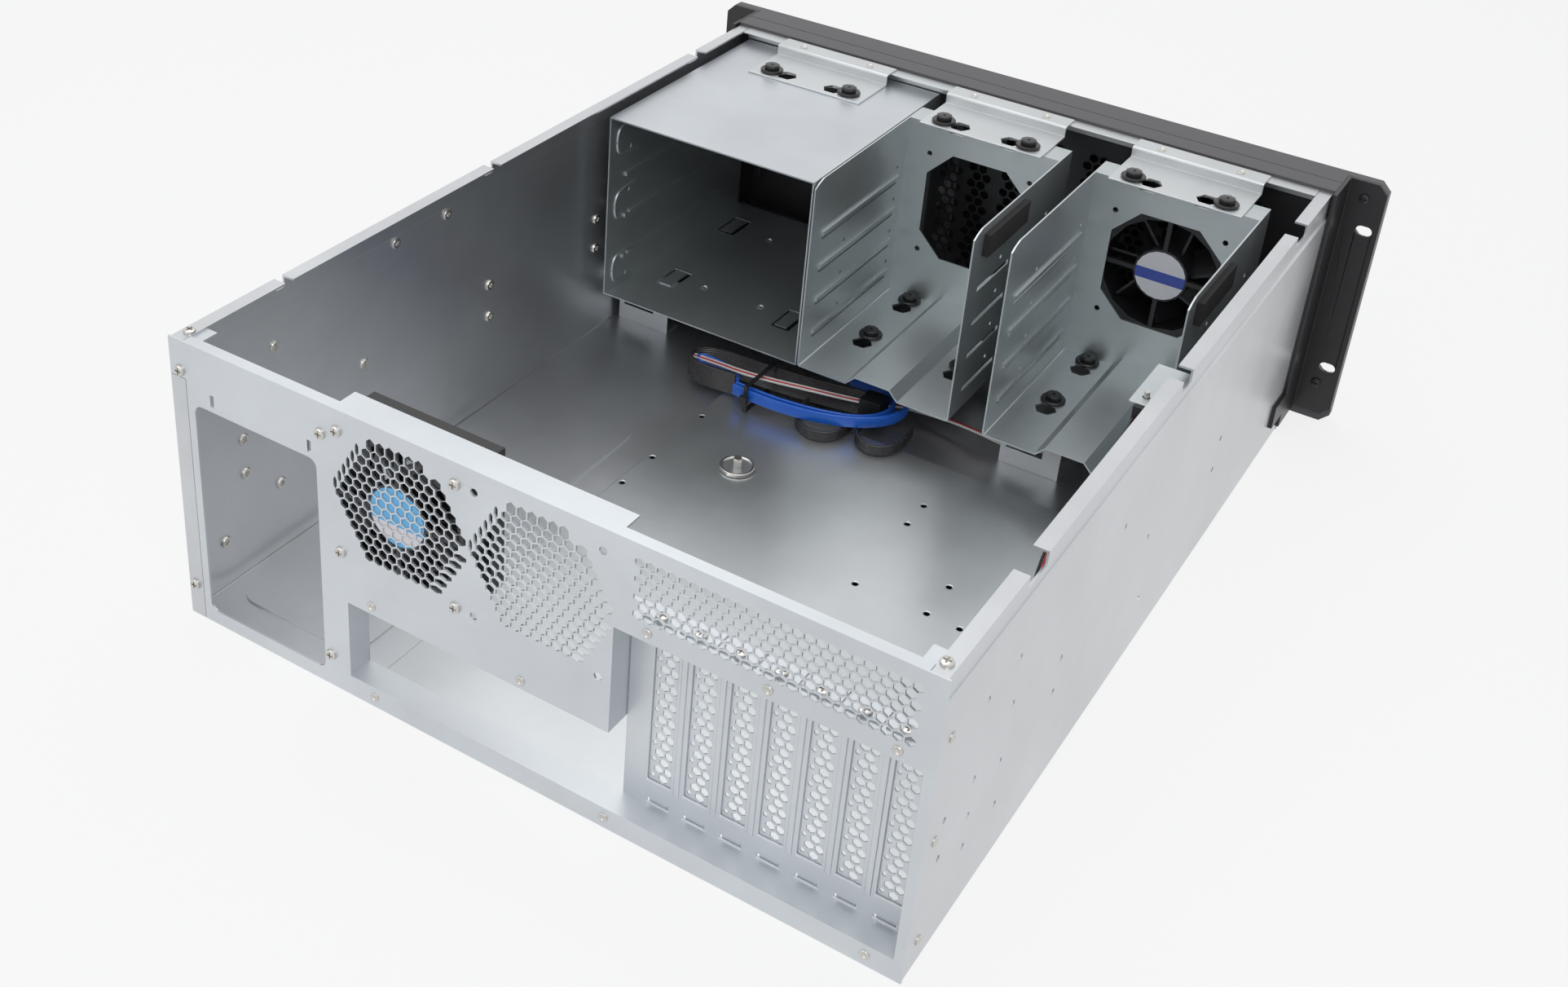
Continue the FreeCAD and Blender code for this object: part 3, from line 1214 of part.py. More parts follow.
build_case()
check_and_export()
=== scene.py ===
"""An open 4U rackmount server case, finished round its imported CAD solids."""

import math

import bpy
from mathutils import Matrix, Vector


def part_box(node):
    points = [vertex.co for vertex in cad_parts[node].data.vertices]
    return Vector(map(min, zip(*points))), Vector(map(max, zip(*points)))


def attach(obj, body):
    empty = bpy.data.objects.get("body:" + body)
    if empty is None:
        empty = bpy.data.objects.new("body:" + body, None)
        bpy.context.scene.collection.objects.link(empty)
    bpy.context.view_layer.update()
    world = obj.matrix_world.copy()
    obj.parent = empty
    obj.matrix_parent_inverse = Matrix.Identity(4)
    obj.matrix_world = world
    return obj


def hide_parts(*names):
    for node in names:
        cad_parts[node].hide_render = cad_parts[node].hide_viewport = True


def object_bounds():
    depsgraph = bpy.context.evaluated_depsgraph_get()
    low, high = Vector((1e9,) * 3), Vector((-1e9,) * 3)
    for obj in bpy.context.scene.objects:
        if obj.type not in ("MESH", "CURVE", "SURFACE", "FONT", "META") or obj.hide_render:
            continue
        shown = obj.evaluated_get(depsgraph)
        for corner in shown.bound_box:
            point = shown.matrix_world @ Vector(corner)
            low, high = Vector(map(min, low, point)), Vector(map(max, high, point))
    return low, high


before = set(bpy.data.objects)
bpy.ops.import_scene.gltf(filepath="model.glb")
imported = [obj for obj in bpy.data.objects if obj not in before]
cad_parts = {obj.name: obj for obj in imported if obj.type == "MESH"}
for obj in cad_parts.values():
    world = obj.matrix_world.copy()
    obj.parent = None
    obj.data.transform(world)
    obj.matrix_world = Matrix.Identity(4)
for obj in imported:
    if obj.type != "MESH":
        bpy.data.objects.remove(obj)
cad_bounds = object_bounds()


# --- studio -----------------------------------------------------------------
# A pale floor and a white surround, with large soft lamps. The floor still
# takes the shadow of the case, and bare metal sees the white all round it.

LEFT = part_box("chassis_tub")[1].x
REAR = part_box("rear_panel")[1].y


def at(across, back, up):
    """The point so far from the left wall, from the rear face and from the floor."""
    return Vector((LEFT - across, REAR - back, up))


def new_material(name):
    """A node material and its Principled shader."""
    material = bpy.data.materials.new(name)
    material.use_nodes = True
    return material, material.node_tree.nodes["Principled BSDF"]


def light_path_sum(tree, kinds):
    """A value that is 1 for any of these kinds of ray."""
    path = tree.nodes.new("ShaderNodeLightPath")
    total = path.outputs[kinds[0]]
    for kind in kinds[1:]:
        add = tree.nodes.new("ShaderNodeMath")
        add.operation = "ADD"
        add.use_clamp = True
        tree.links.new(total, add.inputs[0])
        tree.links.new(path.outputs[kind], add.inputs[1])
        total = add.outputs[0]
    return total


LOOKING_RAYS = ("Is Camera Ray", "Is Glossy Ray", "Is Transmission Ray")
FLOOR_GLOW = 0.8

world = bpy.data.worlds.new("studio")
bpy.context.scene.world = world
world.use_nodes = True
tree = world.node_tree
tree.nodes.clear()
seen = tree.nodes.new("ShaderNodeBackground")
seen.inputs["Color"].default_value = (1, 1, 1, 1)
seen.inputs["Strength"].default_value = 1.0
fill = tree.nodes.new("ShaderNodeBackground")
fill.inputs["Color"].default_value = (0.93, 0.96, 1.0, 1)
fill.inputs["Strength"].default_value = 0.4
mix = tree.nodes.new("ShaderNodeMixShader")
surround = tree.nodes.new("ShaderNodeOutputWorld")
tree.links.new(light_path_sum(tree, LOOKING_RAYS), mix.inputs[0])
tree.links.new(fill.outputs[0], mix.inputs[1])
tree.links.new(seen.outputs[0], mix.inputs[2])
tree.links.new(mix.outputs[0], surround.inputs["Surface"])

bpy.ops.mesh.primitive_plane_add(size=40, location=(0, 0, cad_bounds[0].z - 0.0004))
floor = bpy.context.object
floor.name = "studio_floor"
bpy.ops.object.transform_apply(location=True)
paper, paper_shader = new_material("studio_paper")
paper_shader.inputs["Base Color"].default_value = (0.93, 0.93, 0.93, 1)
paper_shader.inputs["Roughness"].default_value = 0.9
nodes, links = paper.node_tree.nodes, paper.node_tree.links
glow = nodes.new("ShaderNodeEmission")
glow.inputs["Color"].default_value = (1, 1, 1, 1)
blend = nodes.new("ShaderNodeMixShader")
share = nodes.new("ShaderNodeMath")
share.operation = "MULTIPLY"
share.inputs[1].default_value = FLOOR_GLOW
links.new(light_path_sum(paper.node_tree, LOOKING_RAYS), share.inputs[0])
links.new(share.outputs[0], blend.inputs[0])
links.new(paper_shader.outputs[0], blend.inputs[1])
links.new(glow.outputs[0], blend.inputs[2])
links.new(blend.outputs[0], nodes["Material Output"].inputs["Surface"])
floor.data.materials.append(paper)


def lamp(name, place, aim, width, watts):
    """A square area lamp that looks at a point of the case."""
    bpy.ops.object.light_add(type="AREA", location=place)
    light = bpy.context.object
    light.name = name
    light.data.size = width
    light.data.energy = watts
    light.rotation_euler = (Vector(aim) - Vector(place)).to_track_quat("-Z", "Y").to_euler()


lamp("key_lamp", (-0.9, 1.3, 1.7), (0, 0.1, 0.1), 1.2, 9)
lamp("top_lamp", (0.5, -0.3, 1.9), (0, 0, 0.1), 1.6, 9)
lamp("rear_lamp", (0.8, 1.9, 0.5), (0, 0.3, 0.1), 1.2, 4)

bpy.ops.object.camera_add(location=(-0.40528, 0.83829, 0.66125))
camera = bpy.context.object
camera.rotation_euler = [math.radians(a) for a in (60.569, -3.374, -147.568)]
camera.data.lens = 42.661
camera.data.sensor_width = 36
camera.data.shift_x = 0.05976
camera.data.shift_y = -0.12966
camera.data.clip_start = 0.02
bpy.context.scene.camera = camera
bpy.context.scene.view_settings.view_transform = "Standard"


# --- front panel and drive cables -----------------------------------------------
# Flat cables stand on edge behind the cages, gathered by one black tie: ribbed
# black ribbon, glossy blue drive cables and thin single wires of soft vinyl.

def only(piece):
    """Leaves this piece alone selected and active."""
    bpy.ops.object.select_all(action="DESELECT")
    piece.select_set(True)
    bpy.context.view_layer.objects.active = piece


def route_line(name, points, lean=()):
    """A smooth spline with the route's points as its control points, leaning over by angles."""
    data = bpy.data.curves.new(name, "CURVE")
    data.dimensions = "3D"
    data.resolution_u = 20
    spline = data.splines.new("NURBS")
    spline.points.add(len(points) - 1)
    for knot, point in zip(spline.points, points):
        knot.co = (*at(*point), 1)
    for knot, angle in zip(spline.points, lean):
        knot.tilt = angle
    spline.order_u = 3
    spline.use_endpoint_u = True
    line = bpy.data.objects.new(name, data)
    bpy.context.collection.objects.link(line)
    return line


def points_of(line):
    """Points along a route's spline."""
    mesh = bpy.data.meshes.new_from_object(line)
    points = [tuple(vertex.co) for vertex in mesh.vertices]
    bpy.data.meshes.remove(mesh)
    return points


def profile(loops):
    """A flat outline, one closed loop or more, that a cable is drawn out of."""
    data = bpy.data.curves.new("profile", "CURVE")
    data.dimensions = "2D"
    for loop in loops:
        spline = data.splines.new("POLY")
        spline.points.add(len(loop) - 1)
        for knot, (x, y) in zip(spline.points, loop):
            knot.co = (x, y, 0, 1)
        spline.use_cyclic_u = True
    outline = bpy.data.objects.new("profile", data)
    bpy.context.collection.objects.link(outline)
    return outline


def drawn_out(name, points, loops, lean=()):
    """A cable of that outline along a route, as a mesh, and the points it follows."""
    line = route_line(name, points, lean)
    path = points_of(line)
    outline = profile(loops)
    line.data.bevel_mode = "OBJECT"
    line.data.bevel_object = outline
    line.data.twist_mode = "Z_UP"
    line.data.use_fill_caps = True
    only(line)
    bpy.ops.object.convert(target="MESH")
    cable = bpy.context.object
    bpy.data.objects.remove(outline)
    bpy.ops.object.mode_set(mode="EDIT")
    bpy.ops.mesh.select_all(action="SELECT")
    bpy.ops.mesh.normals_make_consistent(inside=False)
    bpy.ops.object.mode_set(mode="OBJECT")
    return cable, path


def ring(radius, x=0.0):
    """A round outline."""
    turns = [math.tau * k / 12 for k in range(12)]
    return [(x + radius * math.cos(angle), radius * math.sin(angle)) for angle in turns]


def ribbed(width, height, cores):
    """The outline of a ribbon cable: one bump for each core, on both faces."""
    side = []
    for k in range(4 * cores):
        swell = 0.45 + 0.55 * math.sin(math.pi * (k % 4 + 0.5) / 4)
        side.append((width / 2 * swell, -height / 2 + height * (k + 0.5) / (4 * cores)))
    return side + [(-x, y) for x, y in reversed(side)]


def flat(width, height, corner):
    """The outline of a flat cable with round edges."""
    loop = []
    for k in range(16):
        angle = math.tau * (k + 0.5) / 16
        x = math.copysign(width / 2 - corner, math.cos(angle)) + corner * math.cos(angle)
        y = math.copysign(height / 2 - corner, math.sin(angle)) + corner * math.sin(angle)
        loop.append((x, y))
    return loop


def clouded(name, colour, cloud, gloss, grain, metal=0.0):
    """A finish with a faint cloud in its tone and gloss, over a fine grain.

    cloud is its scale, detail, roughness and spread in tone, gloss the least
    and most roughness, and grain its scale, strength and height.
    """
    material, shader = new_material(name)
    nodes, links = material.node_tree.nodes, material.node_tree.links
    shader.inputs["Metallic"].default_value = metal
    place = nodes.new("ShaderNodeTexCoord")
    patches = nodes.new("ShaderNodeTexNoise")
    patches.inputs["Scale"].default_value = cloud[0]
    patches.inputs["Detail"].default_value = cloud[1]
    patches.inputs["Roughness"].default_value = cloud[2]
    links.new(place.outputs["Object"], patches.inputs["Vector"])
    tint = nodes.new("ShaderNodeValToRGB")
    tint.color_ramp.elements[0].position = 0.3
    tint.color_ramp.elements[1].position = 0.7
    tint.color_ramp.elements[0].color = (*[c * (1 - cloud[3]) for c in colour], 1)
    tint.color_ramp.elements[1].color = (*[min(1, c * (1 + cloud[3])) for c in colour], 1)
    links.new(patches.outputs["Fac"], tint.inputs["Fac"])
    links.new(tint.outputs["Color"], shader.inputs["Base Color"])
    shine = nodes.new("ShaderNodeMapRange")
    shine.inputs["To Min"].default_value = gloss[0]
    shine.inputs["To Max"].default_value = gloss[1]
    links.new(patches.outputs["Fac"], shine.inputs["Value"])
    links.new(shine.outputs["Result"], shader.inputs["Roughness"])
    speckle = nodes.new("ShaderNodeTexNoise")
    speckle.inputs["Scale"].default_value = grain[0]
    links.new(place.outputs["Object"], speckle.inputs["Vector"])
    bump = nodes.new("ShaderNodeBump")
    bump.inputs["Strength"].default_value = grain[1]
    bump.inputs["Distance"].default_value = grain[2]
    links.new(speckle.outputs["Fac"], bump.inputs["Height"])
    links.new(bump.outputs["Normal"], shader.inputs["Normal"])
    return material


def satin(name, colour, rough=0.34):
    """Cable vinyl, rubber, foam, black paint or moulded plastic."""
    return clouded(name, colour, (90, 3, 0.5, 0.05), (rough - 0.02, rough + 0.04), (700, 0.15, 0.0001))


def fit(piece, finish, instead_of=()):
    """Gives a piece its finish, its body and the CAD nodes it stands for."""
    piece.data.materials.clear()
    for material in finish if isinstance(finish, list) else [finish]:
        piece.data.materials.append(material)
    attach(piece, "case")
    if instead_of:
        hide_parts(*instead_of)


def laid(name, points, outline, finish, instead_of=(), lean=()):
    """A flat cable of the bundle, laid along its route."""
    cable, path = drawn_out(name, points, [outline], lean)
    fit(cable, finish, instead_of)


def joined(pieces, name):
    """Several pieces as one mesh."""
    bpy.ops.object.select_all(action="DESELECT")
    for piece in pieces:
        piece.select_set(True)
    bpy.context.view_layer.objects.active = pieces[0]
    bpy.ops.object.join()
    whole = bpy.context.object
    whole.name = name
    return whole


def wires(name, points, offsets, finishes, instead_of):
    """Single wires side by side, joined as one free cord."""
    strands = []
    for offset, finish in zip(offsets, finishes):
        strand, path = drawn_out(name, points, [ring(WIRE_RADIUS, offset)])
        strand.data.materials.append(finish)
        strands.append(strand)
    bundle = joined(strands, name)
    only(bundle)
    bpy.ops.object.shade_smooth_by_angle(angle=math.radians(50))
    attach(bundle, "case")
    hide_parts(instead_of)


WIRE_RADIUS = 0.00075
black_vinyl = satin("black_vinyl", (0.018, 0.018, 0.02))
ribbon_vinyl = satin("ribbon_vinyl", (0.04, 0.038, 0.04), 0.26)
blue_vinyl = satin("blue_vinyl", (0.02, 0.14, 0.66), 0.28)
red_vinyl = satin("red_vinyl", (0.55, 0.015, 0.02))
white_vinyl = satin("white_vinyl", (0.80, 0.77, 0.76))

RIBBON_LOOP = [(0.2056, 0.3859, 0.0164), (0.182, 0.381, 0.0164), (0.156, 0.377, 0.0164),
               (0.130, 0.375, 0.0164), (0.108, 0.375, 0.0164), (0.094, 0.371, 0.0164),
               (0.088, 0.3625, 0.0164), (0.095, 0.354, 0.0164), (0.110, 0.352, 0.0164),
               (0.128, 0.355, 0.0164)]
RIBBON_LEAN = (0.75, 0.75, 0.75, 0.65, 0.45, 0.2, 0, 0, 0, 0)
laid("ribbon_loop", RIBBON_LOOP, ribbed(0.0022, 0.016, 12), ribbon_vinyl,
     instead_of=["ribbon_cable"], lean=RIBBON_LEAN)

RIBBON_FOLD = [(0.173, 0.373, 0.011), (0.173, 0.359, 0.011), (0.180, 0.346, 0.011),
               (0.193, 0.3405, 0.011), (0.205, 0.3465, 0.011), (0.209, 0.360, 0.011),
               (0.208, 0.374, 0.011)]
laid("ribbon_fold_left", RIBBON_FOLD, ribbed(0.0020, 0.0074, 6), ribbon_vinyl,
     instead_of=["ribbon_fold"])

DATA_CABLE = [(0.132, 0.346, 0.019), (0.151, 0.3445, 0.019), (0.174, 0.346, 0.019),
              (0.197, 0.351, 0.019), (0.218, 0.3615, 0.019), (0.232, 0.376, 0.019),
              (0.235, 0.394, 0.019), (0.226, 0.407, 0.019), (0.208, 0.411, 0.019),
              (0.188, 0.408, 0.019)]
laid("data_cable_outer", DATA_CABLE, flat(0.002, 0.008, 0.0009), blue_vinyl,
     instead_of=["data_cable"])

PANEL_WIRE = [(0.091, 0.3625, 0.021), (0.109, 0.3623, 0.022), (0.130, 0.361, 0.023),
              (0.152, 0.364, 0.0235), (0.174, 0.370, 0.023), (0.192, 0.377, 0.021),
              (0.2052, 0.3826, 0.0197)]
wires("panel_wire_strip", PANEL_WIRE, (-0.0017, 0, 0.0017), (white_vinyl, red_vinyl, white_vinyl),
      "panel_wires")

FAN_LEAD = [(0.2123, 0.3938, 0.012), (0.217, 0.405, 0.011), (0.236, 0.411, 0.009),
            (0.258, 0.409, 0.012), (0.280, 0.405, 0.014), (0.300, 0.407, 0.010),
            (0.321, 0.421, 0.006), (0.335, 0.444, 0.0046), (0.341, 0.474, 0.0044),
            (0.343, 0.504, 0.007), (0.3445, 0.530, 0.020), (0.346, 0.540, 0.044),
            (0.347, 0.526, 0.072)]
wires("front_fan_lead", FAN_LEAD, (-0.0008, 0.0008), (red_vinyl, white_vinyl),
      "fan_lead")

SWITCH_LEAD = [(0.4135, 0.2554, 0.157), (0.4135, 0.238, 0.152), (0.4115, 0.214, 0.141),
               (0.410, 0.182, 0.141), (0.4105, 0.152, 0.128), (0.4135, 0.139, 0.103),
               (0.417, 0.158, 0.072), (0.419, 0.195, 0.044), (0.420, 0.240, 0.024),
               (0.4205, 0.292, 0.0125), (0.4205, 0.345, 0.0103), (0.4205, 0.398, 0.007),
               (0.4205, 0.450, 0.0044), (0.420, 0.503, 0.006), (0.419, 0.5488, 0.024)]
wires("lid_switch_lead", SWITCH_LEAD, (-0.0008, 0.0008), (red_vinyl, black_vinyl),
      "switch_lead")

DATA_INNER = [(0.132, 0.3495, 0.019), (0.151, 0.3485, 0.019), (0.172, 0.350, 0.019),
              (0.192, 0.355, 0.018), (0.211, 0.3645, 0.0165), (0.224, 0.377, 0.0165),
              (0.2265, 0.391, 0.018), (0.219, 0.401, 0.019), (0.204, 0.404, 0.019),
              (0.188, 0.4015, 0.019)]
laid("data_cable_inner", DATA_INNER, flat(0.002, 0.008, 0.0009), blue_vinyl)

DATA_END = [(0.126, 0.366, 0.017), (0.112, 0.3665, 0.018), (0.0975, 0.367, 0.019),
            (0.0935, 0.3635, 0.019), (0.097, 0.3590, 0.018), (0.112, 0.357, 0.017),
            (0.129, 0.358, 0.016)]
laid("data_cable_end", DATA_END, flat(0.002, 0.007, 0.0009), blue_vinyl)

FOLD_RIGHT = [(0.213, 0.374, 0.011), (0.214, 0.361, 0.011), (0.222, 0.3505, 0.011),
              (0.234, 0.349, 0.011), (0.243, 0.358, 0.011), (0.245, 0.371, 0.011),
              (0.243, 0.384, 0.011)]
laid("ribbon_fold_right", FOLD_RIGHT, ribbed(0.0020, 0.0074, 6), ribbon_vinyl)


# --- zinc plated sheet ------------------------------------------------------------
# Tub, panel, tray and cages are folded from plated steel: a satin skin with a
# faint cloud in its tone, fine rolling grain and softly rounded cut edges.

MERGE = 0.00001


def plated(name, colour, rough, metal=0.88):
    """Zinc plated steel sheet."""
    return clouded(name, colour, (11, 5, 0.6, 0.07), (rough - 0.05, rough + 0.06),
                   (1400, 0.12, 0.00006), metal)


def soften(piece, width, segments=2):
    """Rounds the cut edges of a sheet or a moulding."""
    edge = piece.modifiers.new("edge", "BEVEL")
    edge.width = width
    edge.segments = segments
    edge.limit_method = "ANGLE"
    edge.angle_limit = math.radians(50)


def dress(names, finish, width=0.0):
    """Puts a finish on CAD nodes, and rounds their cut edges where a width is given."""
    for name in names:
        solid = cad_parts[name]
        for material_slot in solid.material_slots:
            material_slot.material = finish
        if width:
            solid.modifiers.new("weld", "WELD").merge_threshold = MERGE
            soften(solid, width)


zinc = plated("zinc_sheet", (0.60, 0.615, 0.635), 0.34)
zinc_panel = plated("zinc_panel", (0.64, 0.67, 0.70), 0.40, 0.75)
zinc_cage = plated("zinc_cage", (0.55, 0.59, 0.60), 0.36, 0.8)
# A lighter copy of the cage zinc: a painted sheen for the wide cage's top faces.
sheen_painted_top = plated("zinc_painted_sheen", (0.58, 0.61, 0.64), 0.36, 0.8)
zinc_tray = plated("zinc_tray", (0.58, 0.605, 0.62), 0.32)
bracket_steel = plated("bracket_steel", (0.62, 0.64, 0.65), 0.42, 0.75)
fastener_steel = plated("fastener_steel", (0.60, 0.585, 0.555), 0.25, 0.95)
black_paint = satin("black_paint", (0.022, 0.022, 0.024), 0.38)

dress(["chassis_tub"], zinc, 0.0005)
dress(["motherboard_tray"], zinc_tray, 0.0005)
dress(["slot_frame"], zinc_panel, 0.0005)
dress(["bay_floor_bracket", "right_floor_bracket", "bay_cage_bracket", "mid_cage_bracket",
       "right_cage_bracket", "front_top_rail"], bracket_steel, 0.0003)
dress(["switch_bracket"], zinc_cage, 0.0002)
dress(["tray_standoff", "switch_plunger"], fastener_steel, 0.0002)


# --- rear panel -------------------------------------------------------------------
# One steel sheet with two honeycomb fan grilles and a perforated strip, all of
# them punched, with longer cells along the grilles' rims.

def merged_copy(node, name):
    """A copy of a CAD node's mesh with its triangles joined."""
    piece = bpy.data.objects.new(name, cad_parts[node].data.copy())
    bpy.context.collection.objects.link(piece)
    only(piece)
    bpy.ops.object.mode_set(mode="EDIT")
    bpy.ops.mesh.select_all(action="SELECT")
    bpy.ops.mesh.remove_doubles(threshold=MERGE)
    bpy.ops.object.mode_set(mode="OBJECT")
    return piece


def block(name, low, high):
    """A box between two corners, with its place in its mesh."""
    low, high = Vector(low), Vector(high)
    low, high = Vector(map(min, low, high)), Vector(map(max, low, high))
    bpy.ops.object.select_all(action="DESELECT")
    bpy.ops.mesh.primitive_cube_add(size=1, location=(low + high) / 2, scale=high - low)
    piece = bpy.context.object
    piece.name = name
    bpy.ops.object.transform_apply()
    return piece


def carve(piece, tool, operation="DIFFERENCE"):
    """Takes a tool away from a piece or adds it, and deletes the tool."""
    only(piece)
    modifier = piece.modifiers.new("carve", "BOOLEAN")
    modifier.object = tool
    modifier.operation = operation
    modifier.solver = "MANIFOLD"
    bpy.ops.object.modifier_apply(modifier="carve")
    bpy.data.objects.remove(tool)
    return piece


def hexagon_row(x, y, z, wide, tall, count=1, pitch=0.0, depth=0.006):
    """A row of six-sided punches along Y with a corner up; x is the first one's."""
    bpy.ops.object.select_all(action="DESELECT")
    bpy.ops.mesh.primitive_cylinder_add(vertices=6, radius=1 / math.sqrt(3), depth=depth,
                                        location=(0, 0, 0), rotation=(math.pi / 2, 0, 0))
    bpy.ops.object.transform_apply()
    punch = bpy.context.object
    punch.scale = (wide, 1, tall)
    punch.location = (x, y, z)
    bpy.ops.object.transform_apply()
    if count > 1:
        line = punch.modifiers.new("row", "ARRAY")
        line.count = count
        line.use_relative_offset = False
        line.use_constant_offset = True
        line.constant_offset_displace = (pitch, 0, 0)
        bpy.ops.object.modifier_apply(modifier="row")
    return punch


PANEL_SHEET = 0.0012
PANEL_MIDDLE = REAR - PANEL_SHEET / 2
FAN_PLACES = ((0.1455, 0.126), (0.228, 0.126))
FAN_HALF = 0.0715 / 2
GRILLE_WIDE, GRILLE_TALL = 0.0395, 0.0385
GRILLE_PITCH = 0.00585
GRILLE_CELL = 0.0050
GRILLE_RINGS = 6
ROW_STEP = GRILLE_PITCH * math.sqrt(3) / 2
STRIP_ROWS, STRIP_COLUMNS = 7, 25
STRIP_RIGHT, STRIP_TOP = 0.2829, 0.1638
STRIP_PITCH, STRIP_STEP = 0.00559, 0.00478
STRIP_CELL = 0.0048

# The sheet is closed where the punches go, and its top fold is cut back later.
panel = merged_copy("rear_panel", "rear_panel_sheet")
for across, up in FAN_PLACES:
    filler = block("filler", at(across - GRILLE_WIDE, 0, up - GRILLE_TALL),
                   at(across + GRILLE_WIDE, PANEL_SHEET, up + GRILLE_TALL))
    carve(panel, filler, "UNION")
carve(panel, block("filler", at(0.2745, 0, 0.1325), at(0.4235, PANEL_SHEET, 0.168)), "UNION")

# Each grille is a hexagon of whole cells, with a taller row on top and longer
# cells down its slanted rims.
punches = []
for across, up in FAN_PLACES:
    middle = at(across, 0, up)
    for row in range(-GRILLE_RINGS, GRILLE_RINGS + 1):
        cells = 2 * GRILLE_RINGS + 1 - abs(row)
        punches.append(hexagon_row(middle.x - (cells - 1) / 2 * GRILLE_PITCH, PANEL_MIDDLE,
                                   up + row * ROW_STEP, GRILLE_CELL, GRILLE_CELL, cells, GRILLE_PITCH))
    punches.append(hexagon_row(middle.x - 2.5 * GRILLE_PITCH, PANEL_MIDDLE, up + 7.08 * ROW_STEP,
                               GRILLE_CELL * 1.02, GRILLE_CELL * 1.35, 6, GRILLE_PITCH))
    for k in range(GRILLE_RINGS):
        reach = (6.46 - k / 2) * GRILLE_PITCH
        rise = (k + 1) * ROW_STEP
        for x, z, wide, tall in ((middle.x + reach, up + rise, 0.0021, 0.0064),
                                 (middle.x - reach - 0.0012, up + rise, 0.0062, 0.0056),
                                 (middle.x - reach - 0.0010, up - rise - 0.0002, 0.0072, 0.0036)):
            punches.append(hexagon_row(x, PANEL_MIDDLE, z, wide, tall))
for row in range(STRIP_ROWS):
    odd = row % 2
    start = at(STRIP_RIGHT + (STRIP_COLUMNS - 1 - odd / 2) * STRIP_PITCH, 0, STRIP_TOP - row * STRIP_STEP)
    punches.append(hexagon_row(start.x, PANEL_MIDDLE, start.z, STRIP_CELL, STRIP_CELL,
                               STRIP_COLUMNS - odd, STRIP_PITCH))

# The second fan place is empty, so its four screw holes are open.
empty_across, empty_up = FAN_PLACES[1]
for side in (-1, 1):
    for rise in (-1, 1):
        bpy.ops.object.select_all(action="DESELECT")
        bpy.ops.mesh.primitive_cylinder_add(
            vertices=16, radius=0.0022, depth=0.006, rotation=(math.pi / 2, 0, 0),
            location=at(empty_across + side * FAN_HALF, PANEL_SHEET / 2, empty_up + rise * FAN_HALF))
        bpy.ops.object.transform_apply()
        punches.append(bpy.context.object)
carve(panel, joined(punches, "punches"))
carve(panel, block("trim", at(0.1066, 0.0172, 0.170), at(0.272, 0.030, 0.1775)))
fit(panel, zinc_panel, instead_of=["rear_panel"])


# --- slot covers --------------------------------------------------------------------
# Seven blanking plates behind the slot windows, each with two staggered columns
# of punched cells and half cells along one edge.

SLOTS = 7
SLOT_FIRST = 0.2909
SLOT_PITCH = 0.02032
COVER_BACK = 0.0162
COVER_SHEET = 0.0009
COVER_ROWS = 19
COVER_LOW, COVER_STEP = 0.0300, 0.00505


def cover_cells(across):
    """The punches of one slot cover."""
    cells = []
    for row in range(COVER_ROWS):
        middle = at(across, COVER_BACK + COVER_SHEET / 2, COVER_LOW + row * COVER_STEP)
        if row % 2:
            pair = ((0.0013, 0, 0.0047, 0.0046), (-0.0040, 0, 0.0044, 0.0046))
        else:
            pair = ((-0.0015, 0, 0.0047, 0.0046), (0.0043, 0.0004, 0.0022, 0.0028))
        for shift, lift, wide, tall in pair:
            cells.append(hexagon_row(middle.x + shift, middle.y, middle.z + lift, wide, tall, depth=0.004))
    return joined(cells, "cover_punches")


for number in range(SLOTS):
    cover = merged_copy(f"slot_cover_{number + 1}", f"slot_blank_{number + 1}")
    carve(cover, cover_cells(SLOT_FIRST + number * SLOT_PITCH))
    fit(cover, zinc_panel, instead_of=[f"slot_cover_{number + 1}"])


# --- screws and rivets -------------------------------------------------------------
# Pan-head screws with a cross recess hold the rear fan, the power supply, the
# slot covers and the ears; flush rivets with a dimple join the sheets.

REARWARD, UPWARD = (0, 1, 0), (0, 0, 1)
HEAD_RADIUS, HEAD_HEIGHT = 0.0032, 0.0018
RIVET_RADIUS = 0.0026


def turned(name, outline, place, direction):
    """A small turned piece: an outline of (radius, height) spun round its axis."""
    data = bpy.data.curves.new(name, "CURVE")
    data.dimensions = "3D"
    spline = data.splines.new("POLY")
    spline.points.add(len(outline) - 1)
    for knot, (radius, height) in zip(spline.points, outline):
        knot.co = (radius, 0, height, 1)
    wire = bpy.data.objects.new(name, data)
    bpy.context.collection.objects.link(wire)
    only(wire)
    bpy.ops.object.convert(target="MESH")
    piece = bpy.context.object
    bpy.ops.object.mode_set(mode="EDIT")
    bpy.ops.mesh.select_all(action="SELECT")
    bpy.ops.mesh.spin(steps=20, angle=math.tau, center=(0, 0, 0), axis=(0, 0, 1))
    bpy.ops.mesh.select_all(action="SELECT")
    bpy.ops.mesh.remove_doubles(threshold=MERGE)
    bpy.ops.mesh.normals_make_consistent(inside=False)
    bpy.ops.object.mode_set(mode="OBJECT")
    bpy.ops.object.shade_smooth_by_angle(angle=math.radians(38))
    stand(piece, place, direction)
    return piece


def stand(piece, place, direction):
    """Turns a piece's own Z to a direction and sets it at its place, all in its mesh."""
    only(piece)
    piece.rotation_mode = "QUATERNION"
    piece.rotation_quaternion = Vector(direction).to_track_quat("Z", "Y")
    piece.location = place
    bpy.ops.object.transform_apply()


